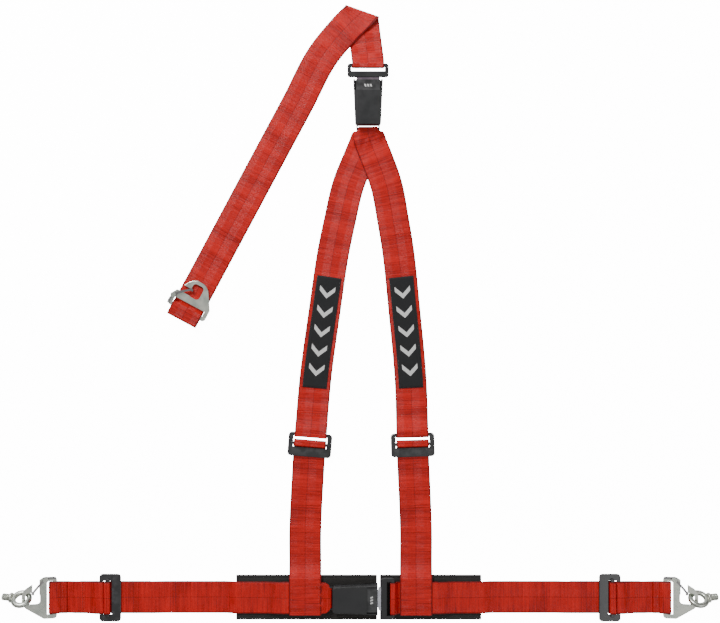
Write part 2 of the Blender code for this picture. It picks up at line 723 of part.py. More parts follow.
def turn_round(inner, outer, low, top, tail_end, tail_z):
    """Webbing over a bar's top from outside, down past its inner face and back to a tail."""
    return [(outer, top + OFFSET, 0.002), (inner - OFFSET, top + OFFSET, TURN),
            (inner - OFFSET, low - OFFSET, TURN), (outer, low - OFFSET, 0.003),
            (outer + 0.0055, tail_z, 0.003), (tail_end, tail_z)]


def anchor_strap(name, side):
    """Short strap from a lap hook to its adjuster."""
    outward = straight((0, LAP_LINE), (side * 0.1, LAP_LINE))
    first = [(HOOK_X + x, z, *bend) for x, z, *bend in hook_turn()]
    last = [(LAP_ADJUSTER_X - x, z, *bend) for x, z, *bend in narrow_turn(LAP_ADJUSTER)]
    path = [Vector(p) for p in round_path(first + last[::-1], TURN)]
    ribbon(name, stations(outward, path, WEB_WIDTH), WEB_THICK)


YOKE = ((0.0, 0.306), (0.0, 0.296), (0.0, 0.2865), (0.0002, 0.2800), (0.0040, 0.2660),
        (0.0130, 0.2440), (0.0285, 0.199), (0.0400, 0.145), (0.0500, 0.090), (0.0600, 0.010), (0.0725, -0.100))


def yoke_route(side):
    """A shoulder strap's line from the rear buckle's bar down to its adjuster."""
    centre = REAR_CENTRE
    shift = 0.0015 * side
    knots = [(centre + side * x + (shift if y < 0.2 else 0) - 0.010 * max(0, 0.25 - y) / 0.45, y)
             for x, y in YOKE]
    return Route(*knots, shoulder_centre(side))


def shoulder_centre(side):
    """Where a shoulder adjuster's middle lies."""
    return (side * SHOULDER_ADJUSTER[0] + 0.0020, SHOULDER_ADJUSTER[1])


def shoulder_place(side):
    """The frame of a shoulder adjuster: +x points down along the strap."""
    route = yoke_route(side)
    heading = route.at(route.length)[1]
    return (Matrix.Translation((*shoulder_centre(side), 0))
            @ Matrix.Rotation(math.atan2(heading.y, heading.x), 4, "Z"))


def yoke_strap():
    """One strap: up the left shoulder, round the rear buckle's bar, down the right shoulder."""
    bar = REAR_MOUTH + BAR_OUTER
    sections = []
    for side in (-1, 1):
        route = yoke_route(side)
        start = route.run_at(bar - 0.0001)
        turn = [(route.length + x, z, *bend)
                for x, z, *bend in narrow_turn(SHOULDER_FRAME)]
        low, high = WEB_THICK / 2, WEB_THICK / 2 + LAYER
        inner = start - END_BAR - OFFSET
        middle = (inner, FRAME_Z + FRAME_THICK / 2)
        if side < 0:
            legs = [(start + 0.03, low, EASE), (start + 0.008, FRAME_Z - OFFSET, EASE),
                    (inner, FRAME_Z - OFFSET, TURN), middle]
        else:
            legs = [(start + 0.120, low, 0.1), (start + 0.082, high + 0.0004, 0.1),
                    (start + 0.014, high + 0.0010, 0.02), (start, FRAME_TOP + OFFSET, 0.003),
                    (inner, FRAME_TOP + OFFSET, TURN), middle]
        path = round_path(turn + legs, TURN)
        leg = stations(route, path, gathered(start - 0.002), step=0.018)
        if side > 0:
            leg = [(m, a, -h) for m, a, h in leg[-2::-1]]
        sections += leg
    ribbon("yoke_strap", sections, WEB_THICK)


def lower_route(side):
    """The lower shoulder strap's line, from its adjuster to below the lap strap."""
    centre = Vector(shoulder_centre(side))
    upper = yoke_route(side)
    heading = upper.at(upper.length)[1]
    end = Vector((side * SHOULDER_END_X + 0.0010, LAP_LINE - 0.030))
    return Route(centre, centre + heading * 0.009, centre + heading * 0.018,
                 (end.x, LAP_LINE + 0.110), (end.x, LAP_LINE + 0.040), end)


def lower_strap(name, side):
    """Lower shoulder strap: adjustable at its top, looped round the lap strap at its end."""
    route = lower_route(side)
    turn = list(lock_turn(SHOULDER_FRAME))
    lap = route.run_at(LAP_LINE)
    edge = WEB_WIDTH / 2
    crest = lap + edge + OFFSET + 0.0004
    top, low = stack(3), stack(0)
    pad = lap - PAD_WIDTH / 2
    loop = [(pad - 0.024, WEB_THICK / 2, EASE), (pad - 0.014, WEB_THICK / 2 + LAYER, EASE),
            (lap - edge - 0.005, top, 0.006), (crest, top, TURN), (crest, low, TURN),
            (pad - 0.001, low, 0.006), (pad - 0.010, WEB_THICK / 2, EASE),
            (pad - 0.012, WEB_THICK / 2)]
    path = round_path(turn + loop, TURN)
    ribbon(name, stations(route, path, WEB_WIDTH), WEB_THICK)


def label(name, side):
    """Woven label sewn on a shoulder strap."""
    route = yoke_route(side)
    first, last = (route.run_at(y) for y in LABEL_Y)
    height = WEB_THICK + GAP + LABEL_THICK / 2
    flat = [Vector((first, height)), Vector((last, height))]
    ribbon(name, stations(route, flat, LABEL_WIDTH, step=0.018), LABEL_THICK, "label")


# Rear strap: up from the tongue, folded over, and down to the rear hook
FOLD_CENTRE = Vector((0.0030, 0.4690))
FOLD_RADIUS = 0.0021
REAR_RUN = ((-0.0240, 0.4425), (-0.0616, 0.3955), (-0.0959, 0.3299), (-0.1427, 0.2426),
            (-0.1895, 0.1552))
REAR_CROWN = Vector((-0.2468, 0.0480))  # the rear hook's crown
REAR_HOOK_Z = 2 * LAYER


def rear_route():
    """The long stretch's line, from the fold to the rear hook's crown."""
    return Route(FOLD_CENTRE, *REAR_RUN, REAR_CROWN)


def rear_hook_place():
    """The frame of the rear hook: its crown points back up the strap."""
    long_run = rear_route()
    back = -long_run.at(long_run.length)[1]
    end = REAR_CROWN - back * HOOK_LENGTH
    return (Matrix.Translation((*end, REAR_HOOK_Z))
            @ Matrix.Rotation(math.atan2(back.y, back.x), 4, "Z"))


def rear_strap():
    """Rear strap as one band, with a slanting fold at its top."""
    bar = REAR_MOUTH + NECK_LENGTH + HEAD_BAR + HEAD_SLOT
    outer = bar + HEAD_OUTER
    low, top = TONGUE_Z - HEAD_SKIN, TONGUE_Z + TONGUE_THICK + HEAD_SKIN
    upright = Route((REAR_CENTRE, bar - 0.008), (REAR_CENTRE, bar), (REAR_CENTRE, bar + 0.008),
                    (REAR_CENTRE - 0.0012, bar + 0.020), (REAR_CENTRE - 0.0045, bar + 0.045),
                    FOLD_CENTRE)
    rising = upright.at(upright.length)[1]
    first, second = WEB_THICK / 2, WEB_THICK / 2 + LAYER
    start = upright.run_at(bar)
    past = upright.run_at(outer)
    path = [(start + 0.047, first), (start + 0.020, first, EASE), (past, low - OFFSET, 0.004),
            (start - OFFSET, low - OFFSET, TURN), (start - OFFSET, top + OFFSET, TURN),
            (past, top + OFFSET, 0.003), (start + 0.022, second, 0.012),
            (start + 0.049, second, EASE), (start + 0.062, first, EASE),
            (upright.length - 0.024, first)]
    sections = stations(upright, round_path(path, TURN), WEB_WIDTH)

    long_run = rear_route()
    falling = long_run.at(0)[1]
    crease = (rising + falling).normalized()
    crease = Vector((crease.x, crease.y, 0)) * (-1 if crease.x > 0 else 1)
    slanted = crease * (WEB_WIDTH / 2) / abs(crease.x * rising.y - crease.y * rising.x)
    out = Vector((-crease.y, crease.x, 0))
    out = out if out.y > 0 else -out
    centre = Vector((*FOLD_CENTRE, 0))
    folded = first + 2 * FOLD_RADIUS
    up3, down3 = Vector((*rising, 0)), Vector((*falling, 0))
    square = Vector((-rising.y, rising.x, 0)) * WEB_WIDTH / 2
    for reach, share in ((0.0165, 0.25), (0.0120, 0.5), (0.0070, 0.75), (0.0020, 1.0)):
        middle = centre - up3 * reach
        sections.append((Vector((middle.x, middle.y, first)), square.lerp(slanted, share),
                         up3))
    for k in range(7):
        turn = math.pi * k / 6
        middle = centre + out * FOLD_RADIUS * math.sin(turn)
        height = first + FOLD_RADIUS * (1 - math.cos(turn))
        ahead = out * math.cos(turn) + Vector((0, 0, math.sin(turn)))
        sections.append((Vector((middle.x, middle.y, height)), slanted, ahead))
    square = Vector((falling.y, -falling.x, 0)) * WEB_WIDTH / 2
    if square.dot(slanted) < 0:
        square = -square
    for reach, share in ((0.0020, 1.0), (0.0070, 0.75), (0.0120, 0.5), (0.0165, 0.25)):
        middle = centre + down3 * reach
        sections.append((Vector((middle.x, middle.y, folded)), square.lerp(slanted, share),
                         down3))
    full = long_run.length
    crest = full + HOOK_LENGTH + 0.0135
    over = REAR_HOOK_Z + HOOK_THICK + OFFSET
    slot = full + HOOK_LENGTH - HOOK_BAR
    path = [(0.024, folded), (0.078, folded, 0.2), (0.160, first, 0.2), (crest, first, 0.0032),
            (crest, over, 0.0032), (slot - 0.0012, over, 0.003),
            (slot - HOOK_SLOT + 0.0025, second, 0.003), (full + 0.006, second)]
    tail = stations(long_run, round_path(path, TURN), WEB_WIDTH)
    flip = -1 if tail[0][1].dot(square) < 0 else 1
    sections += [(m, a * flip, h) for m, a, h in tail]
    ribbon("rear_strap", sections, WEB_THICK)


def pads():
    """Felt pads under the lap buckle and the tongue."""
    span = (LAP_LINE - PAD_WIDTH / 2, LAP_LINE + PAD_WIDTH / 2)
    for name, ends in (("left_lap_pad", LEFT_PAD), ("right_lap_pad", RIGHT_PAD)):
        bevel(prism(name, box(ends, span, 0.0015), 0, PAD_THICK, "pad"), 0.001)


def harness():
    """Every piece of the harness, where it lies."""
    for old in list(bpy.data.objects):
        bpy.data.objects.remove(old)
    pads()
    on_pad = PAD_THICK + GAP
    lap = Matrix.Translation((LAP_MOUTH, LAP_LINE, on_pad))
    rear = Matrix.Translation((REAR_CENTRE, REAR_MOUTH, 0)) @ Matrix.Rotation(math.pi / 2, 4, "Z")
    for prefix, place in (("lap", lap), ("rear", rear)):
        buckle(prefix, place)
        tongue(prefix, place)

    for side, word in ((-1, "left"), (1, "right")):
        hook(word + "_hook", hook_place(side), side)
        ring = (hook_place(side) @ Vector((RING_REACH, 0, HOOK_THICK / 2)))
        eyebolt(word + "_eyebolt", Matrix.Translation(ring) @ lap_place(0, side).to_3x3().to_4x4(),
                side * RING_LEAN)
        adjuster(word + "_lap_adjuster", LAP_ADJUSTER,
                 lap_place(side * LAP_ADJUSTER_X, side) @ Matrix.Rotation(math.pi, 4, "Z"))
        adjuster(word + "_shoulder_adjuster", SHOULDER_FRAME, shoulder_place(side))
        anchor_strap(word + "_anchor_strap", side)
        lower_strap(word + "_shoulder_strap", side)
        label(word + "_shoulder_label", side)
    hook("rear_hook", rear_hook_place(), 1)

    bar_inner, bar_outer = -(LAP_MOUTH + BAR_INNER), -(LAP_MOUTH + BAR_OUTER)
    lap_tail = SHOULDER_END_X + WEB_WIDTH / 2 + 0.010
    lap_strap("left_lap_strap", -1, bar_outer,
              turn_round(bar_inner, bar_outer, on_pad + FRAME_Z, on_pad + FRAME_TOP, lap_tail,
                         stack(1)))
    head = LAP_MOUTH + NECK_LENGTH + HEAD_BAR + HEAD_SLOT
    lap_strap("right_lap_strap", 1, head + HEAD_OUTER,
              turn_round(head, head + HEAD_OUTER, on_pad + TONGUE_Z - HEAD_SKIN,
                         on_pad + TONGUE_Z + TONGUE_THICK + HEAD_SKIN, lap_tail, stack(1)))
    yoke_strap()
    rear_strap()


harness()
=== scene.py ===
"""Racing harness laid flat: webbing, pads, buckles, hooks and eyebolts dressed on the frame.

Metres, +Z up, on the plane z = 0. +X runs along the lap straps and +Y towards the rear buckle.
"""

from __future__ import annotations

import json
import logging
import math
from collections.abc import Callable, Sequence
from dataclasses import dataclass, field
from enum import Enum
from typing import ClassVar

import bmesh
import bpy
import numpy as np
from mathutils import Matrix, Vector
from numpy.typing import NDArray

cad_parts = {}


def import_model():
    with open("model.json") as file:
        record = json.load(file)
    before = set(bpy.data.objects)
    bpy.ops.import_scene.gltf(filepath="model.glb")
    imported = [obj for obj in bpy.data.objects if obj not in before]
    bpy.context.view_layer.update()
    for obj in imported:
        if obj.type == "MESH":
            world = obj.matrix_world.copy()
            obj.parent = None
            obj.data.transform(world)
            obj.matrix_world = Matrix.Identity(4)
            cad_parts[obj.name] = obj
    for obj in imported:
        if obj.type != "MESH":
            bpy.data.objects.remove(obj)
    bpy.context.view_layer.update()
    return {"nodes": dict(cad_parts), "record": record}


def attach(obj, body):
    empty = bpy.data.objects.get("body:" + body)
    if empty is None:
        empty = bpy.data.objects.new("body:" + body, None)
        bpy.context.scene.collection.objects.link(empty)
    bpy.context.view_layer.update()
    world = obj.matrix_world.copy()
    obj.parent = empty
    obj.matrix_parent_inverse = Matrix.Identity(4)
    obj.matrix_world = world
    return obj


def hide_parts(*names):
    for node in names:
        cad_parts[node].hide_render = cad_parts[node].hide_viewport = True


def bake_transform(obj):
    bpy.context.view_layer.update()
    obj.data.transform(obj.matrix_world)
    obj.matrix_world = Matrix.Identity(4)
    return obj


Array = NDArray[np.float64]
Corner = tuple[float, ...]
log = logging.getLogger("harness")

WEB_WIDTH = 0.050
WEB_THICK = 0.0013
GAP = 0.0003
LAYER = WEB_THICK + GAP
OFFSET = GAP + WEB_THICK / 2
EASE = 0.030
LAP_LINE = -0.4420
SEAM_HALF = 0.0225
SKIN = 0.00002
NECK_WIDTH = 0.030
GATHER = 0.016
HOOK_LIFT = LAYER + 0.0004


class Slot(Enum):
    """Material slots of the stored record."""

    WEBBING = "webbing"
    LABEL = "label"
    PAD = "pad"
    PLASTIC = "plastic"
    COATED = "coated"
    ZINC = "zinc"
    SPRING = "spring"


class Hold(Enum):
    """How a strap lies."""

    LAID = "laid"
    FOLDED = "folded"


# Meshes --------------------------------------------------------------------------------


def grid_faces(rows: int, columns: int, around: bool = True, loop: bool = False) -> NDArray[np.int64]:
    """Quads of a grid of points numbered row by row.

    Args:
        rows: Number of rows.
        columns: Points in each row.
        around: Whether each row closes on itself.
        loop: Whether the last row joins the first.

    Returns:
        One row of four point numbers for each face.
    """
    row = np.arange(rows if loop else rows - 1)
    column = np.arange(columns if around else columns - 1)
    r, c = np.meshgrid(row, column, indexing="ij")
    after_r, after_c = (r + 1) % rows, (c + 1) % columns
    quads = np.stack([r * columns + c, r * columns + after_c, after_r * columns + after_c,
                      after_r * columns + c], axis=-1)
    return quads.reshape(-1, 4)


def add_piece(name: str, points: Array, faces: Sequence[Sequence[int]], finish: bpy.types.Material,
              uv: Array | None = None, smooth: bool = True) -> bpy.types.Object:
    """Make a mesh object at the origin.

    Args:
        name: The piece's name.
        points: One row of x, y, z for each point.
        faces: Point numbers of each face.
        finish: Its material.
        uv: One row of u, v for each point, or None.
        smooth: Whether the shading is smooth.

    Returns:
        The new object.
    """
    mesh = bpy.data.meshes.new(name)
    mesh.from_pydata(points.reshape(-1, 3), [], [tuple(map(int, f)) for f in faces])
    if uv is not None:
        layer = mesh.uv_layers.new(name="UVMap")
        corners = np.empty(len(mesh.loops), dtype=np.int32)
        mesh.loops.foreach_get("vertex_index", corners)
        layer.data.foreach_set("uv", uv.reshape(-1, 2)[corners].astype(np.float32).ravel())
    mesh.polygons.foreach_set("use_smooth", np.full(len(mesh.polygons), smooth))
    mesh.materials.append(finish)
    mesh.update()
    piece = bpy.data.objects.new(name, mesh)
    bpy.context.collection.objects.link(piece)
    log.info("%s: %d faces", name, len(mesh.polygons))
    return piece


def place_points(points: Array, place: Matrix) -> Array:
    """Points carried into the harness's frame by a placing matrix."""
    m = np.array(place)
    return points @ m[:3, :3].T + m[:3, 3]


# Materials -----------------------------------------------------------------------------


class Graph:
    """A material's nodes, added one call at a time."""

    def __init__(self, name: str) -> None:
        """Start a material that has only its Principled shader."""
        self.material = bpy.data.materials.new(name)
        self.material.use_nodes = True
        self.tree = self.material.node_tree
        self.shader = self.tree.nodes["Principled BSDF"]

    def set(self, **values: object) -> None:
        """Set the shader's own sockets, named with underscores for spaces."""
        for name, value in values.items():
            self.shader.inputs[name.replace("_", " ")].default_value = value

    def node(self, kind: str, inputs: dict[int | str, object], **options: object) -> bpy.types.Node:
        """Add a node.

        Args:
            kind: The node's type.
            inputs: Socket name or number to a value or to another node's output.
            options: Attributes set on the node.

        Returns:
            The node.
        """
        made = self.tree.nodes.new(kind)
        for name, value in options.items():
            setattr(made, name, value)
        for key, value in inputs.items():
            if isinstance(value, bpy.types.NodeSocket):
                self.tree.links.new(value, made.inputs[key])
            else:
                made.inputs[key].default_value = value
        return made

    def math(self, operation: str, a: object, b: object = 0.0, c: object = 0.0) -> bpy.types.NodeSocket:
        """The output of a Math node."""
        return self.node("ShaderNodeMath", {0: a, 1: b, 2: c}, operation=operation).outputs[0]

    def ramp(self, value: object, low: float, high: float, out_low: float = 0.0,
             out_high: float = 1.0) -> bpy.types.NodeSocket:
        """A value's smooth rise between two levels."""
        made = self.node("ShaderNodeMapRange", {0: value, 1: low, 2: high, 3: out_low, 4: out_high},
                         interpolation_type="SMOOTHSTEP")
        return made.outputs[0]

    def mix(self, share: object, a: object, b: object) -> bpy.types.NodeSocket:
        """A blend of two colours."""
        made = self.node("ShaderNodeMix", {0: share, 6: a, 7: b}, data_type="RGBA")
        return made.outputs[2]

    def uv(self) -> tuple[bpy.types.NodeSocket, bpy.types.NodeSocket, bpy.types.NodeSocket]:
        """The piece's own map: across, along and both together."""
        both = self.node("ShaderNodeUVMap", {}, uv_map="UVMap").outputs[0]
        split = self.node("ShaderNodeSeparateXYZ", {0: both})
        return split.outputs[0], split.outputs[1], both

    def place(self) -> bpy.types.NodeSocket:
        """Object coordinates, in metres."""
        return self.node("ShaderNodeTexCoord", {}).outputs["Object"]

    def noise(self, place: object, scale: float, detail: float = 3.0,
              rough: float = 0.55) -> bpy.types.NodeSocket:
        """A noise value at a place."""
        return self.node("ShaderNodeTexNoise", {"Vector": place, "Scale": scale, "Detail": detail,
                                                "Roughness": rough}).outputs[0]

    def stretched(self, place: object, size: tuple[float, float, float]) -> bpy.types.NodeSocket:
        """A place scaled differently along each axis."""
        return self.node("ShaderNodeMapping", {"Vector": place, "Scale": size}).outputs[0]

    def stripes(self, value: object, period: float) -> bpy.types.NodeSocket:
        """A sine of a length, from -1 to 1."""
        return self.math("SINE", self.math("MULTIPLY", value, 2 * math.pi / period))

    def link(self, output: object, socket: str) -> None:
        """Join an output to one of the shader's sockets."""
        self.tree.links.new(output, self.shader.inputs[socket])

    def bump(self, height: object, depth: float, strength: float = 1.0) -> None:
        """Give the shader a relief of a depth in metres."""
        self.link(self.node("ShaderNodeBump", {"Height": height, "Distance": depth,
                                               "Strength": strength}).outputs[0], "Normal")


@dataclass(frozen=True)
class Webbing:
    """Polyester webbing: a twill ground in lengthwise panels, with selvages and fine creases; its colour is
    also darkened along the creases and slow waves as painted shade.
    """

    colour: tuple[float, float, float] = (0.66, 0.007, 0.003)
    # Dark end of the colour mix, used for the webbing's darker tone and for its painted shade.
    deep_and_shaded: tuple[float, float, float] = (0.20, 0.001, 0.001)
    warp: float = 0.0011
    weft: float = 0.0009
    panel: float = 0.0125
    selvage: float = 0.0236

    def build(self) -> bpy.types.Material:
        """Make the material; it reads the strap's map, in metres across and along."""
        g = Graph("webbing_twill")
        g.set(Roughness=0.42, Specular_IOR_Level=0.34)
        across, along, both = g.uv()
        slant = g.math("ADD", along, g.math("MULTIPLY", g.math("PINGPONG", across, self.panel), 0.9))
        twill = g.math("MULTIPLY", g.stripes(across, self.warp), g.stripes(slant, self.weft))
        ribs = g.stripes(slant, self.weft * 2)
        joint = g.ramp(g.math("PINGPONG", across, self.panel), 0.0, 0.0007, 1.0, 0.0)
        edge = g.ramp(g.math("ABSOLUTE", across), self.selvage - 0.0008, self.selvage)
        creases = g.noise(g.stretched(both, (16.0, 520.0, 1.0)), 1.0, 3.0, 0.6)
        waves = g.noise(g.stretched(both, (9.0, 42.0, 1.0)), 1.0, 2.0)
        dirt = g.noise(both, 46.0, 4.0)
        # The base colour mixes the webbing's own tone (twill, panel joints, selvages, dirt) with painted
        # shade from the creases and slow waves.
        shade = g.math("ADD", g.math("MULTIPLY", twill, 0.10), g.math("MULTIPLY", creases, 0.55))
        shade = g.math("ADD", shade, g.math("MULTIPLY", waves, 0.40))
        shade = g.math("SUBTRACT", shade, g.math("MULTIPLY", joint, 0.16))
        shade = g.math("SUBTRACT", shade, g.math("MULTIPLY", edge, 0.22))
        shade = g.math("ADD", shade, g.math("MULTIPLY", dirt, 0.12))
        g.link(g.mix(g.ramp(shade, 0.32, 0.66), (*self.deep_and_shaded, 1), (*self.colour, 1)), "Base Color")
        g.link(g.ramp(creases, 0.3, 0.7, 0.36, 0.52), "Roughness")
        height = g.math("ADD", g.math("MULTIPLY", twill, 0.30), g.math("MULTIPLY", ribs, 0.22))
        height = g.math("ADD", height, g.math("MULTIPLY", creases, 2.4))
        height = g.math("ADD", height, g.math("MULTIPLY", waves, 16.0))
        height = g.math("SUBTRACT", height, g.math("MULTIPLY", joint, 0.5))
        height = g.math("SUBTRACT", height, g.math("MULTIPLY", edge, 0.6))
        g.bump(height, 0.00022)
        return g.material


@dataclass(frozen=True)
class Thread:
    """Twisted sewing thread."""

    name: str = "sewing_thread"
    colour: tuple[float, float, float] = (0.60, 0.045, 0.022)
    dark: tuple[float, float, float] = (0.30, 0.012, 0.006)

    def build(self) -> bpy.types.Material:
        """Make the material, with its twist on the stitch's own map."""
        g = Graph(self.name)
        g.set(Roughness=0.5, Specular_IOR_Level=0.5, Sheen_Weight=0.3, Sheen_Roughness=0.3)
        across, along, _ = g.uv()
        twist = g.stripes(g.math("ADD", g.math("MULTIPLY", across, 0.5), along), 0.25)
        g.link(g.mix(g.ramp(twist, -1.0, 0.8), (*self.dark, 1), (*self.colour, 1)), "Base Color")
        g.bump(twist, 0.00006)
        return g.material


@dataclass(frozen=True)
class Cloth:
    """A plain woven cloth of two yarns, read from the piece's map in metres."""

    name: str
    colour: tuple[float, float, float]
    light: tuple[float, float, float]
    yarn: float = 0.0007
    depth: float = 0.00012
    wear: float = 0.35

    def build(self) -> bpy.types.Material:
        """Make the material."""
        g = Graph(self.name)
        g.set(Roughness=0.8, Specular_IOR_Level=0.3, Sheen_Weight=0.25, Sheen_Roughness=0.5)
        across, along, both = g.uv()
        weave = g.math("MULTIPLY", g.stripes(across, self.yarn), g.stripes(along, self.yarn * 0.85))
        fuzz = g.noise(both, 900.0, 4.0)
        patches = g.noise(both, 30.0, 3.0)
        shade = g.math("ADD", g.math("MULTIPLY", weave, 0.25), g.math("MULTIPLY", fuzz, 0.6))
        shade = g.math("ADD", shade, g.math("MULTIPLY", patches, self.wear))
        g.link(g.mix(g.ramp(shade, 0.3, 0.95), (*self.colour, 1), (*self.light, 1)), "Base Color")
        g.link(g.ramp(fuzz, 0.3, 0.7, 0.72, 0.9), "Roughness")
        g.bump(g.math("ADD", g.math("MULTIPLY", weave, 0.6), g.math("MULTIPLY", fuzz, 0.7)), self.depth)
        return g.material


@dataclass(frozen=True)
class Moulding:
    """Black moulded plastic with a fine spark-eroded grain and rubbed edges."""

    name: str = "moulded_plastic"
    colour: tuple[float, float, float] = (0.011, 0.011, 0.012)
    worn: tuple[float, float, float] = (0.055, 0.055, 0.057)
    roughness: float = 0.44

    def build(self) -> bpy.types.Material:
        """Make the material."""
        g = Graph(self.name)
        g.set(Roughness=self.roughness, Specular_IOR_Level=0.5)
        place = g.place()
        grain = g.noise(place, 2600.0, 3.0)
        cloud = g.noise(place, 60.0, 4.0)
        scuff = g.noise(g.stretched(place, (240.0, 1800.0, 900.0)), 1.0, 3.0, 0.7)
        edge = g.ramp(g.node("ShaderNodeNewGeometry", {}).outputs["Pointiness"], 0.515, 0.60)
        rub = g.math("MULTIPLY", edge, g.ramp(cloud, 0.35, 0.6))
        scratch = g.math("MULTIPLY", g.ramp(scuff, 0.66, 0.74), 0.35)
        g.link(g.mix(g.math("MAXIMUM", g.math("MULTIPLY", rub, 0.8), scratch), (*self.colour, 1),
                     (*self.worn, 1)), "Base Color")
        g.link(g.ramp(g.math("ADD", cloud, g.math("MULTIPLY", grain, 0.3)), 0.4, 0.9,
                      self.roughness - 0.08, self.roughness + 0.10), "Roughness")
        g.bump(g.math("ADD", grain, g.math("MULTIPLY", scratch, -0.6)), 0.00005, 0.7)
        return g.material


@dataclass(frozen=True)
class CoatedSteel:
    """Black electro-coated steel: a smooth satin skin, thin at the edges."""

    colour: tuple[float, float, float] = (0.010, 0.010, 0.011)
    thin: tuple[float, float, float] = (0.16, 0.16, 0.165)

    def build(self) -> bpy.types.Material:
        """Make the material."""
        g = Graph("coated_steel")
        g.set(Roughness=0.34, Specular_IOR_Level=0.6, Coat_Weight=0.25, Coat_Roughness=0.28)
        place = g.place()
        peel = g.noise(place, 900.0, 2.0)
        cloud = g.noise(place, 90.0, 4.0)
        edge = g.ramp(g.node("ShaderNodeNewGeometry", {}).outputs["Pointiness"], 0.53, 0.64)
        rub = g.math("MULTIPLY", edge, g.ramp(cloud, 0.42, 0.62))
        g.link(g.mix(rub, (*self.colour, 1), (*self.thin, 1)), "Base Color")
        g.link(g.math("MULTIPLY", rub, 0.7), "Metallic")
        g.link(g.ramp(cloud, 0.3, 0.7, 0.28, 0.42), "Roughness")
        g.bump(peel, 0.00006, 0.6)
        return g.material


@dataclass(frozen=True)
class Plated:
    """Zinc-plated or bright steel, with its passivated tint, fine scratches and dull patches, and painted
    shade in its hollows.
    """

    name: str
    colour: tuple[float, float, float]
    tint: tuple[float, float, float]
    # Colour of the dull patches, also used for the painted shade in the hollows.
    dull: tuple[float, float, float]
    roughness: float = 0.30

    def build(self) -> bpy.types.Material:
        """Make the material."""
        g = Graph(self.name)
        g.set(Roughness=self.roughness, Metallic=1.0)
        place = g.place()
        cloud = g.noise(place, 75.0, 4.0)
        crystal = g.noise(place, 1400.0, 3.0, 0.7)
        scratch = g.ramp(g.noise(g.stretched(place, (300.0, 2600.0, 1200.0)), 1.0, 2.0), 0.62, 0.72)
        # Concave places are darkened towards the dull colour: painted shade.
        hollow_shade = g.ramp(g.node("ShaderNodeNewGeometry", {}).outputs["Pointiness"], 0.40, 0.49, 1.0, 0.0)
        base = g.mix(g.ramp(cloud, 0.35, 0.65), (*self.colour, 1), (*self.tint, 1))
        base = g.mix(g.math("MAXIMUM", hollow_shade, g.math("MULTIPLY", g.ramp(crystal, 0.55, 0.75), 0.3)),
                     base, (*self.dull, 1))
        g.link(base, "Base Color")
        rough = g.math("ADD", g.ramp(cloud, 0.3, 0.7, self.roughness - 0.06, self.roughness + 0.12),
                       g.math("MULTIPLY", scratch, 0.10))
        g.link(rough, "Roughness")
        g.bump(g.math("ADD", g.math("MULTIPLY", crystal, 0.5), g.math("MULTIPLY", scratch, -0.4)),
               0.00006, 0.6)
        return g.material


@dataclass
class Finishes:
    """Every finish of the harness, built once."""

    webbing: bpy.types.Material = field(default_factory=Webbing().build)
    thread: bpy.types.Material = field(default_factory=Thread().build)
    dark_thread: bpy.types.Material = field(default_factory=Thread(
        "dark_thread", (0.035, 0.035, 0.037), (0.010, 0.010, 0.011)).build)
    white_thread: bpy.types.Material = field(default_factory=Cloth(
        "white_embroidery", (0.60, 0.60, 0.59), (0.90, 0.90, 0.88), 0.0005, 0.00008).build)
    label: bpy.types.Material = field(default_factory=Cloth(
        "label_weave", (0.007, 0.007, 0.008), (0.028, 0.028, 0.030), 0.0005, 0.00006).build)
    pad: bpy.types.Material = field(default_factory=Cloth(
        "pad_cover", (0.012, 0.0105, 0.0095), (0.046, 0.041, 0.038), 0.0010, 0.00016).build)
    print_white: bpy.types.Material = field(default_factory=Moulding(
        "printed_mark", (0.72, 0.72, 0.70), (0.50, 0.50, 0.49), 0.5).build)
    plastic: bpy.types.Material = field(default_factory=Moulding().build)
    coated: bpy.types.Material = field(default_factory=CoatedSteel().build)
    zinc: bpy.types.Material = field(default_factory=Plated(
        "zinc_plate", (0.52, 0.56, 0.50), (0.64, 0.65, 0.58), (0.22, 0.24, 0.21), 0.30).build)
    blade: bpy.types.Material = field(default_factory=Plated(
        "tongue_steel", (0.62, 0.63, 0.66), (0.52, 0.52, 0.58), (0.30, 0.30, 0.34), 0.26).build)
    # A darker copy of the tongue steel for the rear tongue's plate: painted shade.
    shaded_blade: bpy.types.Material = field(default_factory=Plated(
        "shaded_tongue_steel", (0.16, 0.13, 0.17), (0.24, 0.19, 0.22), (0.07, 0.06, 0.08), 0.30).build)
    spring: bpy.types.Material = field(default_factory=Plated(
        "spring_steel", (0.24, 0.24, 0.25), (0.32, 0.31, 0.30), (0.12, 0.11, 0.11), 0.30).build)


# Webbing -------------------------------------------------------------------------------


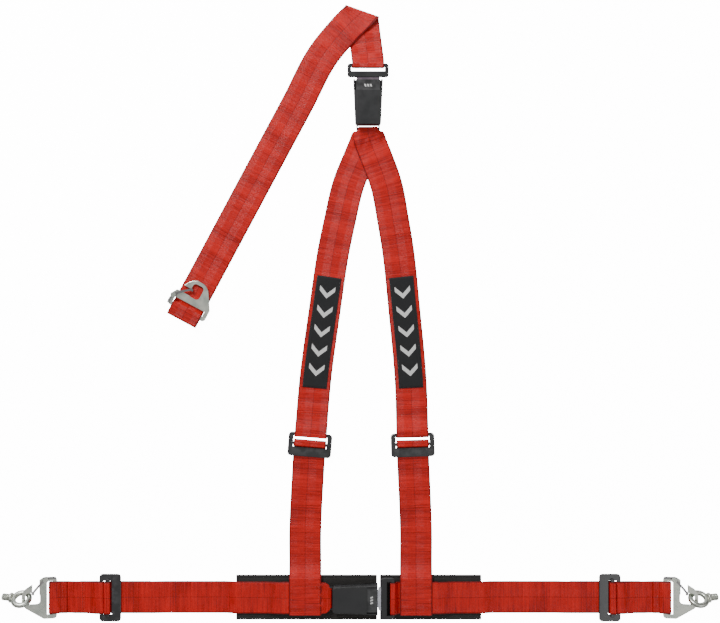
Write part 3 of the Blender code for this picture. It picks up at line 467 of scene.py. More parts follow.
class Route:
    """A smooth line on the plane, read by the distance along it.

    Between two knots b and c it is the Hermite cubic whose end slopes are the chords through the
    neighbouring knots, each scaled by its share of the chord's length.
    """

    STEP = 0.004
    NEAR = 0.0015

    def __init__(self, *points: Sequence[float]) -> None:
        """Work out the line through knots, straight on past both ends."""
        knots = np.array(points, dtype=float)
        knots = np.vstack([knots[0] * 2 - knots[1], knots, knots[-1] * 2 - knots[-2]])
        parts = []
        for a, b, c, d in zip(knots, knots[1:], knots[2:], knots[3:]):
            chord = float(np.linalg.norm(c - b))
            leave = (c - a) * chord / (np.linalg.norm(b - a) + chord)
            arrive = (d - b) * chord / (np.linalg.norm(d - c) + chord)
            count = max(1, round(chord / self.STEP))
            t = (np.arange(count) / count)[:, None]
            parts.append(b + (3 * t**2 - 2 * t**3) * (c - b) + (t - 2 * t**2 + t**3) * leave
                         + (t**3 - t**2) * arrive)
        self.line = np.vstack([*parts, knots[-2:-1]])
        steps = np.linalg.norm(np.diff(self.line, axis=0), axis=1)
        self.run = np.concatenate([[0.0], np.cumsum(steps)])
        self.length = float(self.run[-1])

    def point(self, run: Array) -> Array:
        """Points at distances along the line."""
        k = np.clip(np.searchsorted(self.run, run, side="right") - 1, 0, len(self.run) - 2)
        share = ((run - self.run[k]) / (self.run[k + 1] - self.run[k]))[..., None]
        return self.line[k] * (1 - share) + self.line[k + 1] * share

    def heading(self, run: Array) -> Array:
        """Unit directions at distances along the line."""
        ahead = self.point(run + self.NEAR) - self.point(run - self.NEAR)
        return ahead / np.linalg.norm(ahead, axis=-1, keepdims=True)

    def run_at(self, y: float) -> float:
        """The distance along the line at which it first reaches a y."""
        low = np.minimum(self.line[:-1, 1], self.line[1:, 1])
        high = np.maximum(self.line[:-1, 1], self.line[1:, 1])
        k = int(np.argmax((low <= y) & (y <= high)))
        share = (y - self.line[k, 1]) / (self.line[k + 1, 1] - self.line[k, 1])
        return float(self.run[k] + share * (self.run[k + 1] - self.run[k]))


def rounded(corners: Sequence[Corner], radius: float = OFFSET, turn_step: float = 9.0) -> Array:
    """A path through corners, each rounded by an arc.

    Args:
        corners: (distance, height) or (distance, height, radius) of each corner.
        radius: Radius of the corners that carry none.
        turn_step: Largest turn between two points of an arc, in degrees.

    Returns:
        One row of distance and height for each point.
    """
    points = np.array([c[:2] for c in corners])
    path = [points[:1]]
    for k in range(1, len(points) - 1):
        corner, before, after = points[k], points[k - 1], points[k + 1]
        reach_before, reach_after = np.linalg.norm(before - corner), np.linalg.norm(after - corner)
        towards, away = (before - corner) / reach_before, (after - corner) / reach_after
        half = math.acos(float(np.clip(towards @ away, -1, 1))) / 2
        if half > math.pi / 2 - 0.002:
            path.append(corner[None])
            continue
        bend = corners[k][2] if len(corners[k]) > 2 else radius
        reach = min(bend / math.tan(half), 0.49 * min(reach_before, reach_after))
        middle = (towards + away) / np.linalg.norm(towards + away)
        centre = corner + middle * reach / math.cos(half)
        first, last = corner + towards * reach - centre, corner + away * reach - centre
        turn = math.atan2(first[0] * last[1] - first[1] * last[0], float(first @ last))
        count = max(2, math.ceil(abs(turn) / math.radians(turn_step)))
        angle = turn * np.arange(count + 1) / count
        path.append(centre + np.stack([first[0] * np.cos(angle) - first[1] * np.sin(angle),
                                       first[0] * np.sin(angle) + first[1] * np.cos(angle)], axis=1))
    return np.vstack([*path, points[-1:]])


@dataclass
class Sections:
    """Cross-sections along a strap: middles, half widths across and directions."""

    middle: Array
    across: Array
    heading: Array

    def joined(self, other: Sections, back: bool = False) -> Sections:
        """These sections followed by others, which may run the other way."""
        order = slice(None, None, -1) if back else slice(None)
        sign = -1.0 if back else 1.0
        return Sections(np.vstack([self.middle, other.middle[order]]),
                        np.vstack([self.across, other.across[order]]),
                        np.vstack([self.heading, other.heading[order] * sign]))


def along(route: Route, path: Array, width: float | Callable[[Array], Array], step: float = 0.0035,
          shortest: float = 0.00012) -> Sections:
    """Sections of webbing that follows a route at a path's heights.

    The path is filled in to a step, its slopes are the means of the runs on both sides, and each
    section stands square to the route.

    Args:
        route: The line on the plane.
        path: Distances along the route and heights.
        width: The webbing's width, or its width by the distance along the route.
        step: Longest run between two sections.
        shortest: Points closer than this are left out.

    Returns:
        The sections.
    """
    gaps = np.linalg.norm(np.diff(path, axis=0), axis=1)
    path = path[np.concatenate([[True], gaps > shortest])]
    gaps = np.linalg.norm(np.diff(path, axis=0), axis=1)
    counts = np.maximum(1, np.ceil(gaps / step)).astype(int)
    where = np.concatenate([np.arange(n) / n + k for k, n in enumerate(counts)] + [[len(counts)]])
    fine = np.stack([np.interp(where, np.arange(len(path)), path[:, i]) for i in (0, 1)], axis=1)
    runs = np.diff(fine, axis=0)
    runs /= np.linalg.norm(runs, axis=1, keepdims=True)
    slope = np.vstack([runs[:1], runs]) + np.vstack([runs, runs[-1:]])
    slope /= np.linalg.norm(slope, axis=1, keepdims=True)
    spot, heading = route.point(fine[:, 0]), route.heading(fine[:, 0])
    half = (width(fine[:, 0]) if callable(width) else np.full(len(fine), width)) / 2
    zero = np.zeros(len(fine))
    return Sections(np.column_stack([spot, fine[:, 1]]),
                    np.column_stack([-heading[:, 1], heading[:, 0], zero]) * half[:, None],
                    np.column_stack([heading * slope[:, :1], slope[:, 1]]))


def gathered(end: float) -> Callable[[Array], Array]:
    """Webbing width by distance: bunched in a buckle's slot at end, full width past it."""
    def width(run: Array) -> Array:
        share = np.sqrt(1 - (1 - np.clip((run - end) / GATHER, 0.0, 1.0)) ** 2)
        return NECK_WIDTH + (WEB_WIDTH - NECK_WIDTH) * share
    return width


class Band:
    """A strap or label: its sections, its mesh, and places on its upper face."""

    EDGE_TURNS = 3
    COLUMNS = 16

    def __init__(self, sections: Sections, thick: float = WEB_THICK) -> None:
        """Work out each section's face direction and its distance along the band."""
        self.thick = thick
        self.pleats: list[tuple[float, float, float, int, float]] = []
        self.folds: list[tuple[float, float, float]] = []
        self.middle, self.across = sections.middle, sections.across
        self.half = np.linalg.norm(self.across, axis=1)
        self.side = self.across / self.half[:, None]
        up = np.cross(self.across, sections.heading)
        self.up = up / np.linalg.norm(up, axis=1, keepdims=True)
        self.heading = sections.heading
        steps = np.linalg.norm(np.diff(self.middle, axis=0), axis=1)
        self.run = np.concatenate([[0.0], np.cumsum(steps)])

    @property
    def length(self) -> float:
        """Length of the band as cut."""
        return float(self.run[-1])

    def profile(self) -> tuple[Array, Array, Array]:
        """The section's outline: share of the half width, inset from the edge, and height share.

        The faces are flat and the edges are half circles of the band's thickness.
        """
        share = np.linspace(-1, 1, self.COLUMNS + 1)
        turn = np.linspace(-math.pi / 2, math.pi / 2, self.EDGE_TURNS + 2)[1:-1]
        zero, one = np.zeros(len(share)), np.ones(len(share))
        half = self.thick / 2
        return (np.concatenate([share, np.ones(len(turn)), share[::-1], -np.ones(len(turn))]),
                np.concatenate([zero - share * half, half * (np.cos(turn) - 1), share[::-1] * -half,
                                half * (1 - np.cos(turn))]),
                np.concatenate([-one, np.sin(turn), one, -np.sin(turn)]))

    def mesh(self, name: str, finish: bpy.types.Material) -> bpy.types.Object:
        """Make the band's mesh, with its map in metres across and along."""
        share, inset, rise = self.profile()
        reach = self.half[:, None] * share + inset
        points = (self.middle[:, None] + self.side[:, None] * reach[..., None]
                  + self.up[:, None] * (rise * self.thick / 2)[None, :, None])
        points[..., 2] += self.relief(share)
        rows, columns = reach.shape
        faces = [*grid_faces(rows, columns)[:, ::-1], range(columns),
                 range(rows * columns - 1, (rows - 1) * columns - 1, -1)]
        uv = np.stack([reach, np.broadcast_to(self.run[:, None], reach.shape)], axis=-1)
        return add_piece(name, points, faces, finish, uv)

    def relief(self, share: Array) -> Array:
        """Height added to the band by its pleats and sewn ridges.

        A pleat run is a hump along the band times a cosine across it; a ridge is a smooth hump
        across the whole band. Both only lift the webbing.

        Args:
            share: Shares of the half width across.

        Returns:
            Heights, one row for each section.
        """
        added = np.zeros((len(self.run), len(share)))
        for start, end, depth, count, shift in self.pleats:
            hump = np.sin(np.clip((self.run - start) / (end - start), 0, 1) * math.pi) ** 2
            wave = 0.5 - 0.5 * np.cos(2 * math.pi * count * (share + 1) / 2 + shift)
            added += depth * hump[:, None] * wave[None]
        for middle, half, height in self.folds:
            away = np.clip(np.abs(self.run - middle) / half, 0, 1)
            added += (height * (1 - away**2) ** 2)[:, None]
        return added

    def nearest(self, x: float, y: float, highest: bool = True) -> float:
        """The distance along the band at a place on the plane, on its top or bottom layer."""
        away = np.hypot(self.middle[:, 0] - x, self.middle[:, 1] - y)
        close = np.flatnonzero(away < away.min() + 0.004)
        heights = self.middle[close, 2]
        best = close[int(np.argmax(heights) if highest else np.argmin(heights))]
        group = close[np.abs(close - best) < 8]
        return float(self.run[group[int(np.argmin(away[group]))]])

    def on_face(self, across: Array, run: Array, lift: float) -> tuple[Array, Array, Array, Array]:
        """Places above the face that can be seen.

        Args:
            across: Distances across from the band's middle.
            run: Distances along the band.
            lift: Height above the face.

        Returns:
            Places, and the directions along, across and away from the face there.
        """
        def read(values: Array) -> Array:
            return np.stack([np.interp(run, self.run, values[:, i]) for i in range(3)], axis=-1)

        ahead, side, up = read(self.heading), read(self.side), read(self.up)
        up /= np.linalg.norm(up, axis=-1, keepdims=True)
        up *= np.where(up[..., 2:3] < 0, -1.0, 1.0)
        place = read(self.middle) + side * across[..., None] + up * (self.thick / 2 + lift)
        return place, ahead, side, up


@dataclass
class Sewing:
    """Rows of stitches on a band's face, all in one mesh."""

    SIDES: ClassVar[int] = 6
    REACH: ClassVar[tuple[float, ...]] = (-1.0, -0.72, 0.0, 0.72, 1.0)
    GIRTH: ClassVar[tuple[float, ...]] = (0.12, 0.72, 1.0, 0.72, 0.12)
    length: float = 0.0034
    pitch: float = 0.0043
    width: float = 0.0007
    height: float = 0.00028
    rows: list[tuple[Array, Array, Array, Array]] = field(default_factory=list)

    def row(self, band: Band, start: tuple[float, float], end: tuple[float, float]) -> None:
        """Add a row of stitches between two (across, along) places on a band."""
        first, last = np.array(start), np.array(end)
        reach = float(np.linalg.norm(last - first))
        count = max(1, int(reach / self.pitch))
        share = ((np.arange(count) + 0.5) / count)[:, None]
        spots = first + (last - first) * share
        place, ahead, side, up = band.on_face(spots[:, 0], spots[:, 1], SKIN)
        line = (last - first) / reach
        self.rows.append((place, side * line[0] + ahead * line[1], side * line[1] - ahead * line[0], up))

    def seam(self, band: Band, run: float) -> None:
        """Add a row straight across a strap."""
        self.row(band, (-SEAM_HALF, run), (SEAM_HALF, run))

    def ring(self, outline: Array, height: float) -> None:
        """Add stitches evenly along a closed level outline."""
        closed = np.vstack([outline, outline[:1]])
        run = np.concatenate([[0.0], np.cumsum(np.linalg.norm(np.diff(closed, axis=0), axis=1))])
        count = int(run[-1] / self.pitch)
        spots = (np.arange(count) + 0.5) / count * run[-1]

        def read(at: Array) -> Array:
            return np.stack([np.interp(at % run[-1], run, closed[:, i]) for i in (0, 1)], axis=-1)

        ahead = read(spots + 0.0004) - read(spots - 0.0004)
        ahead /= np.linalg.norm(ahead, axis=1, keepdims=True)
        zero = np.zeros(count)
        self.rows.append((np.column_stack([read(spots), zero + height]), np.column_stack([ahead, zero]),
                          np.column_stack([ahead[:, 1], -ahead[:, 0], zero]),
                          np.column_stack([zero, zero, zero + 1])))

    def box(self, band: Band, low: float, high: float, half: float = 0.021) -> None:
        """Add a sewn rectangle over a stretch of a band."""
        for across in (-half, half):
            self.row(band, (across, low), (across, high))
        for run in (low, high):
            self.row(band, (-half, run), (half, run))

    def mesh(self, name: str, finish: bpy.types.Material) -> bpy.types.Object:
        """Make one mesh of all the stitches; each is a stretched half-sunk ball."""
        place, ahead, side, up = (np.vstack([r[i] for r in self.rows]) for i in range(4))
        sides, rings = self.SIDES, len(self.REACH)
        each = sides * rings
        turn = np.arange(sides) * 2 * math.pi / sides
        reach, girth = np.array(self.REACH), np.array(self.GIRTH)
        x = np.repeat(reach, sides) * self.length / 2
        y = np.outer(girth, np.cos(turn)).ravel() * self.width / 2
        z = np.outer(girth, np.sin(turn)).ravel() * self.height
        points = (place[:, None] + ahead[:, None] * x[None, :, None] + side[:, None] * y[None, :, None]
                  + up[:, None] * z[None, :, None])
        one = [*map(tuple, grid_faces(rings, sides)), tuple(range(sides - 1, -1, -1)),
               tuple(range(each - sides, each))]
        faces = [tuple(int(v) + each * k for v in f) for k in range(len(place)) for f in one]
        uv = np.stack([np.tile(np.tile(np.arange(sides) / sides, rings), (len(place), 1)),
                       np.tile(np.repeat(reach, sides), (len(place), 1))], axis=-1)
        return add_piece(name, points, faces, finish, uv)


@dataclass(frozen=True)
class Adjuster:
    """A slide adjuster's sizes, and the paths that webbing takes through it."""

    length: float
    thick: float = 0.0035
    wide_bar: float = 0.0140
    narrow_bar: float = 0.0055
    lock_bar: tuple[float, float] = (0.0050, 0.0028)
    travel: float = 0.0018
    tail: float = 0.045
    base: float = 2 * LAYER

    def lock_turn(self) -> list[Corner]:
        """In under the wide bar, round the locking bar and back out under it."""
        right = self.length / 2 - self.wide_bar - 0.0036
        left = right - self.lock_bar[0] - OFFSET - self.travel
        right += OFFSET
        low = self.base - OFFSET
        top = self.base + self.thick + GAP + self.lock_bar[1] + OFFSET
        end = self.length / 2 + self.tail
        return [(end, low - LAYER), (left, low - LAYER), (left, top), (right, top), (right, low),
                (end + 0.006, low, EASE), (end + 0.022, WEB_THICK / 2, EASE)]

    def narrow_turn(self) -> list[Corner]:
        """From a tail underneath, round the narrow bar to the strap."""
        inner = -self.length / 2 + self.narrow_bar + OFFSET
        low, top = self.base - OFFSET, self.base + self.thick + OFFSET
        away = -self.length / 2 - 0.004
        tail = self.tail * 0.6
        first = WEB_THICK / 2
        return [(away - tail, first), (away, first, EASE), (away + 0.003, low - LAYER * 0.5, EASE),
                (inner, low), (inner, top), (away, top, 0.008), (away - 0.018, first + LAYER, EASE),
                (away - tail - 0.006, first + LAYER, EASE), (away - tail - 0.020, first, EASE)]


@dataclass
class Strap:
    """A finished strap: its band, the bodies it rides on and the solid it stands for."""

    name: str
    band: Band
    body: str
    hold: Hold = Hold.LAID
    rests_on: tuple[str, ...] = ()
    sewing: Sewing = field(default_factory=Sewing)

    def build(self, finishes: Finishes, fasten: Callable[[bpy.types.Object], None]) -> None:
        """Make the strap and its stitches.

        Args:
            finishes: The harness's finishes.
            fasten: Joins a piece to the body or bodies that carry it.
        """
        web = self.band.mesh(self.name + "_webbing", finishes.webbing)
        pieces = [web]
        if self.sewing.rows:
            pieces.append(self.sewing.mesh(self.name + "_stitches", finishes.thread))
        for piece in pieces:
            fasten(piece)
        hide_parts(self.name)


@dataclass(frozen=True)
class Plan:
    """Places of the harness's parts on the plane."""

    lap_mouth: float = 0.0275
    rear_mouth: float = 0.362
    rear_centre: float = 0.0125
    hook_x: float = 0.472
    lap_adjuster_x: float = 0.3885
    shoulder_adjuster: tuple[float, float] = (0.0800, -0.2045)
    shoulder_end: float = 0.0862
    pad_thick: float = 0.004
    pad_width: float = 0.070
    left_pad: tuple[float, float] = (-0.193, 0.0265)
    right_pad: tuple[float, float] = (0.0310, 0.189)
    hook_tilt: float = math.radians(11.5)
    hook_thick: float = 0.003
    hook_bar: float = 0.0065
    hook_slot: float = 0.0085
    hook_length: float = 0.053
    bar: tuple[float, float] = (-0.0730, -0.0790)
    frame_z: tuple[float, float] = (0.0026, 0.0054)
    tongue_z: tuple[float, float] = (0.0044, 0.0100)
    head: tuple[float, float] = (0.0210, 0.0260)
    lap_adjuster: Adjuster = Adjuster(0.0335)
    yoke_adjuster: Adjuster = Adjuster(0.0370)

    def stack(self, level: int) -> float:
        """Height of the middle of a layer of webbing on the pads, counted from 0."""
        return self.pad_thick + OFFSET + level * LAYER

    def side_body(self, side: int) -> str:
        """The body that carries a lap strap: the left one is fixed to the buckle."""
        return "harness" if side < 0 else "lap_tongue"


@dataclass
class LapStraps:
    """The two lap straps and the two short straps to the hooks."""

    plan: Plan

    def outward(self, side: int) -> Route:
        """The lap line, read by the distance from the middle."""
        return Route((0, LAP_LINE), (side * 0.1, LAP_LINE))

    def lap(self, side: int) -> Band:
        """A lap strap from its adjuster, over the pad, to the buckle or the tongue."""
        p = self.plan
        on_pad = p.pad_thick + GAP
        if side < 0:
            inner, outer = (-(p.lap_mouth + b) for b in p.bar)
            low, top = (on_pad + z for z in p.frame_z)
        else:
            inner, outer = (p.lap_mouth + h for h in p.head)
            low, top = (on_pad + z for z in p.tongue_z)
        pad_end = -p.left_pad[0] if side < 0 else p.right_pad[1]
        cross = p.shoulder_end + WEB_WIDTH / 2 + 0.004
        turn = [(p.lap_adjuster_x - c[0], *c[1:]) for c in p.lap_adjuster.lock_turn()]
        climb = [(pad_end + 0.014, WEB_THICK / 2, EASE), (pad_end, p.stack(0), EASE),
                 (cross + 0.030, p.stack(0), EASE), (cross + 0.010, p.stack(2), EASE),
                 (outer + 0.0064, p.stack(2), 0.003)]
        tail = self.round_bar(inner, outer, low, top, p.shoulder_end + WEB_WIDTH / 2 + 0.010)
        width = gathered(outer - 0.005) if side < 0 else WEB_WIDTH
        band = Band(along(self.outward(side), rounded(turn + climb + tail), width))
        if side < 0:
            ends = sorted(band.nearest(side * (outer + r), LAP_LINE) for r in (0.002, 0.022))
            band.pleats = [(*ends, 0.0022, 3, 2.0)]
        return band

    def round_bar(self, inner: float, outer: float, low: float, top: float, end: float) -> list[Corner]:
        """Over a bar's top from outside, down past its inner face and back to a tail."""
        tail = self.plan.stack(1)
        return [(outer, top + OFFSET, 0.002), (inner - OFFSET, top + OFFSET),
                (inner - OFFSET, low - OFFSET), (outer, low - OFFSET, 0.003),
                (outer + 0.0055, tail, 0.003), (end, tail)]

    def anchor(self, side: int) -> Band:
        """A short strap from a lap hook's end bar to its adjuster."""
        p = self.plan
        sine, cosine = math.sin(p.hook_tilt), math.cos(p.hook_tilt)

        def tilted(x: float, z: float, bend: float) -> Corner:
            return (p.hook_x + x * cosine - z * sine, HOOK_LIFT + x * sine + z * cosine, bend)

        low, high = WEB_THICK / 2, WEB_THICK / 2 + LAYER
        crest, over = p.hook_bar + 0.0055, p.hook_thick + OFFSET
        first = [(p.hook_x - 0.016, high), (p.hook_x - 0.0075, high, 0.006),
                 tilted(-0.0005, over, 0.004), tilted(crest, over, 0.0024),
                 tilted(crest, -OFFSET, 0.0024), tilted(0.0, -OFFSET, EASE),
                 (p.hook_x - 0.006, low, EASE)]
        last = [(p.lap_adjuster_x - c[0], *c[1:]) for c in p.lap_adjuster.narrow_turn()]
        return Band(along(self.outward(side), rounded(first + last[::-1]), WEB_WIDTH))

    def build(self, finishes: Finishes) -> None:
        """Make the four straps with their seams."""
        p = self.plan
        for side, word in ((-1, "left"), (1, "right")):
            body = p.side_body(side)
            lap = self.lap(side)
            sewing = Sewing()
            end = p.shoulder_end + WEB_WIDTH / 2 + 0.0030
            run = lap.nearest(side * (end + 0.0065), LAP_LINE)
            sewing.box(lap, run - 0.0015, run + 0.0032)
            Strap(word + "_lap_strap", lap, body, Hold.LAID, (word + "_lap_pad",), sewing).build(
                finishes, lambda piece, body=body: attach(piece, body))
            anchor = self.anchor(side)
            sewing = Sewing()
            run = anchor.nearest(side * (p.hook_x - 0.0100), LAP_LINE)
            sewing.seam(anchor, run)
            run = anchor.nearest(side * (p.lap_adjuster_x + 0.0420), LAP_LINE)
            sewing.seam(anchor, run)
            sewing.seam(anchor, run - 0.003)
            Strap(word + "_anchor_strap", anchor, body, Hold.LAID, (), sewing).build(
                finishes, lambda piece, body=body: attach(piece, body))


@dataclass
class ShoulderStraps:
    """The yoke strap round the rear buckle's bar, and the two straps below the adjusters."""

    plan: Plan
    yoke_knots: tuple[tuple[float, float], ...] = (
        (0.0, 0.306), (0.0, 0.296), (0.0, 0.2865), (0.0002, 0.2800), (0.0040, 0.2660),
        (0.0130, 0.2440), (0.0285, 0.199), (0.0400, 0.145), (0.0500, 0.090), (0.0600, 0.010),
        (0.0725, -0.100))
    label_y: tuple[float, float] = (0.057, -0.116)
    label_width: float = 0.038
    label_thick: float = 0.0008

    def centre(self, side: int) -> tuple[float, float]:
        """Where a shoulder adjuster's middle lies."""
        return side * self.plan.shoulder_adjuster[0] + 0.0020, self.plan.shoulder_adjuster[1]

    def upper(self, side: int) -> Route:
        """From the rear buckle's bar down to the adjuster."""
        centre, shift = self.plan.rear_centre, 0.0015 * side
        knots = [(centre + side * x + (shift if y < 0.2 else 0) - 0.010 * max(0, 0.25 - y) / 0.45, y)
                 for x, y in self.yoke_knots]
        return Route(*knots, self.centre(side))

    def yoke(self) -> Band:
        """Up the left shoulder, through the buckle's slot round its bar, down the right."""
        p = self.plan
        low, high = WEB_THICK / 2, WEB_THICK / 2 + LAYER
        legs = []
        for side in (-1, 1):
            route = self.upper(side)
            start = route.run_at(p.rear_mouth + p.bar[1] - 0.0001)
            inner = start - (p.bar[0] - p.bar[1]) - OFFSET
            middle = (inner, sum(p.frame_z) / 2)
            turn = [(route.length + c[0], *c[1:]) for c in p.yoke_adjuster.narrow_turn()]
            if side < 0:
                bar = p.frame_z[0] - OFFSET
                leg = [(start + 0.03, low, EASE), (start + 0.008, bar, EASE), (inner, bar), middle]
            else:
                bar = p.frame_z[1] + OFFSET
                leg = [(start + 0.120, low, 0.1), (start + 0.082, high + 0.0004, 0.1),
                       (start + 0.014, high + 0.0010, 0.02), (start, bar, 0.003), (inner, bar), middle]
            legs.append(along(route, rounded(turn + leg), gathered(start - 0.002)))
        right = Sections(legs[1].middle[:-1], legs[1].across[:-1], legs[1].heading[:-1])
        band = Band(legs[0].joined(right, back=True))
        top = route.run_at(p.rear_mouth + p.bar[1])
        ends = sorted(band.nearest(*route.point(np.array([top + r]))[0][:2]) for r in (0.003, 0.026))
        band.pleats = [(*ends, 0.0030, 3, 1.1)]
        return band

    def lower(self, side: int) -> Band:
        """From the adjuster down to the lap strap, looped under it and sewn."""
        p = self.plan
        centre = np.array(self.centre(side))
        upper = self.upper(side)
        heading = upper.heading(np.array([upper.length]))[0]
        end = side * p.shoulder_end + 0.0010
        route = Route(centre, centre + heading * 0.009, centre + heading * 0.018,
                      (end, LAP_LINE + 0.110), (end, LAP_LINE + 0.040), (end, LAP_LINE - 0.030))
        lap = route.run_at(LAP_LINE)
        edge, pad = WEB_WIDTH / 2, lap - p.pad_width / 2
        crest, top, low = lap + edge + OFFSET + 0.0004, p.stack(3), p.stack(0)
        first = WEB_THICK / 2
        loop = [(pad - 0.024, first, EASE), (pad - 0.014, first + LAYER, EASE),
                (lap - edge - 0.005, top, 0.006), (crest, top), (crest, low), (pad - 0.001, low, 0.006),
                (pad - 0.010, first, EASE), (pad - 0.012, first)]
        path = rounded([*p.yoke_adjuster.lock_turn(), *loop])
        band = Band(along(route, path, WEB_WIDTH))
        spot = route.point(np.array([crest - 0.0112]))[0]
        band.folds = [(band.nearest(*spot[:2]), 0.0032, 0.0013)]
        return band

    def label_band(self, side: int) -> Band:
        """A label lying on the yoke strap."""
        route = self.upper(side)
        first, last = (route.run_at(y) for y in self.label_y)
        height = WEB_THICK + GAP + self.label_thick / 2
        path = np.array([(first, height), (last, height)])
        return Band(along(route, path, self.label_width), self.label_thick)

    def build(self, finishes: Finishes) -> None:
        """Make the three straps, and the two labels with their motifs."""
        yoke = self.yoke()
        sewing = Sewing()
        for side in (-1, 1):
            route = self.upper(side)
            for y in (-0.1200, -0.1230, self.plan.shoulder_adjuster[1] + 0.0490):
                spot = route.point(np.array([route.run_at(y)]))[0]
                run = yoke.nearest(float(spot[0]), float(spot[1]))
                sewing.seam(yoke, run)
        Strap("yoke_strap", yoke, "harness", Hold.LAID, (), sewing).build(
            finishes, lambda piece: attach(piece, "harness"))
        for side, word in ((-1, "left"), (1, "right")):
            lower = self.lower(side)
            sewing = Sewing()
            end = side * self.plan.shoulder_end + 0.0010
            for y in (LAP_LINE + 0.0195, LAP_LINE - 0.0195):
                sewing.seam(lower, lower.nearest(end, y))
            for across in (-0.0215, 0.0215):
                sewing.row(lower, (across, lower.nearest(end, LAP_LINE + 0.0195)),
                           (across, lower.nearest(end, LAP_LINE - 0.0195)))
            Strap(word + "_shoulder_strap", lower, "harness", Hold.LAID, (word + "_lap_strap",),
                  sewing).build(finishes, self.fasten(side))
            self.dress_label(word, side, finishes)

    def fasten(self, side: int) -> Callable[[bpy.types.Object], None]:
        """How a lower strap is carried: the left one by the harness; the right one, which runs between the
        adjuster and the tongue, is left unattached with its transform baked.
        """
        if side < 0:
            return lambda piece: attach(piece, "harness")
        return lambda piece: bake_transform(piece)

    def dress_label(self, word: str, side: int, finishes: Finishes) -> None:
        """Make a label with its woven motif of chevrons."""
        band = self.label_band(side)
        label = band.mesh(word + "_label_cloth", finishes.label)
        motif = Motif(band).mesh(word + "_label_motif", finishes.white_thread)
        sewing = Sewing(0.0026, 0.0034, 0.0005, 0.00018)
        inset = 0.0012
        for across in (-self.label_width / 2 + inset, self.label_width / 2 - inset):
            sewing.row(band, (across, inset), (across, band.length - inset))
        for run in (inset, band.length - inset):
            sewing.row(band, (-self.label_width / 2 + inset, run), (self.label_width / 2 - inset, run))
        hem = sewing.mesh(word + "_label_stitches", finishes.dark_thread)
        for piece in (label, motif, hem):
            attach(piece, "harness")
        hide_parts(word + "_shoulder_label")


@dataclass
class Motif:
    """A plain decorative motif woven into a label: spaced chevrons."""

    band: Band
    count: int = 5
    reach: float = 0.0240
    stroke: float = 0.0078
    rise: float = 0.0001
    margin: float = 0.011

    def patch(self, across: Array, run: Array) -> tuple[Array, list[tuple[int, ...]]]:
        """A closed thin plate over a grid of places on the label.

        Args:
            across: Distances across, one for each grid point.
            run: Distances along, one for each grid point.

        Returns:
            Its points and faces.
        """
        top = self.band.on_face(across, run, self.rise)[0]
        base = self.band.on_face(across, run, 0.00001)[0]
        rows, columns = across.shape
        upper = grid_faces(rows, columns, around=False)
        shift = rows * columns
        number = np.arange(shift).reshape(rows, columns)
        rim = np.concatenate([number[0, :-1], number[:-1, -1], number[-1, :0:-1], number[:0:-1, 0]])
        after = np.roll(rim, -1)
        faces = [*map(tuple, upper), *map(tuple, upper[:, ::-1] + shift),
                 *zip(rim + shift, after + shift, after, rim)]
        return np.vstack([top.reshape(-1, 3), base.reshape(-1, 3)]), faces

    def shapes(self) -> list[tuple[Array, Array]]:
        """Grids of the chevrons' two arms, in across and along."""
        length = self.band.length
        pitch = (length - 2 * self.margin) / self.count
        made = []
        for k in range(self.count):
            start = self.margin + (k + 0.12) * pitch
            for arm in (-1, 1):
                share, run = np.meshgrid(np.linspace(0, 1, 9), np.linspace(0, 1, 4))
                across = arm * share * self.reach / 2
                made.append((across, start + run * self.stroke + (1 - share) * pitch * 0.38))
        return made

    def mesh(self, name: str, finish: bpy.types.Material) -> bpy.types.Object:
        """Make the whole motif as one mesh."""
        points, faces, uv, total = [], [], [], 0
        for across, run in self.shapes():
            spots, quads = self.patch(across, run)
            points.append(spots)
            flat = np.stack([across, run], axis=-1).reshape(-1, 2)
            uv.append(np.vstack([flat, flat]))
            faces += [tuple(int(v) + total for v in q) for q in quads]
            total += len(spots)
        piece = add_piece(name, np.vstack(points), faces, finish, np.vstack(uv), smooth=False)
        outward(piece)
        return piece


def outward(piece: bpy.types.Object) -> None:
    """Turn a closed mesh's faces outwards."""
    work = bmesh.new()
    work.from_mesh(piece.data)
    bmesh.ops.recalc_face_normals(work, faces=work.faces[:])
    work.to_mesh(piece.data)
    work.free()


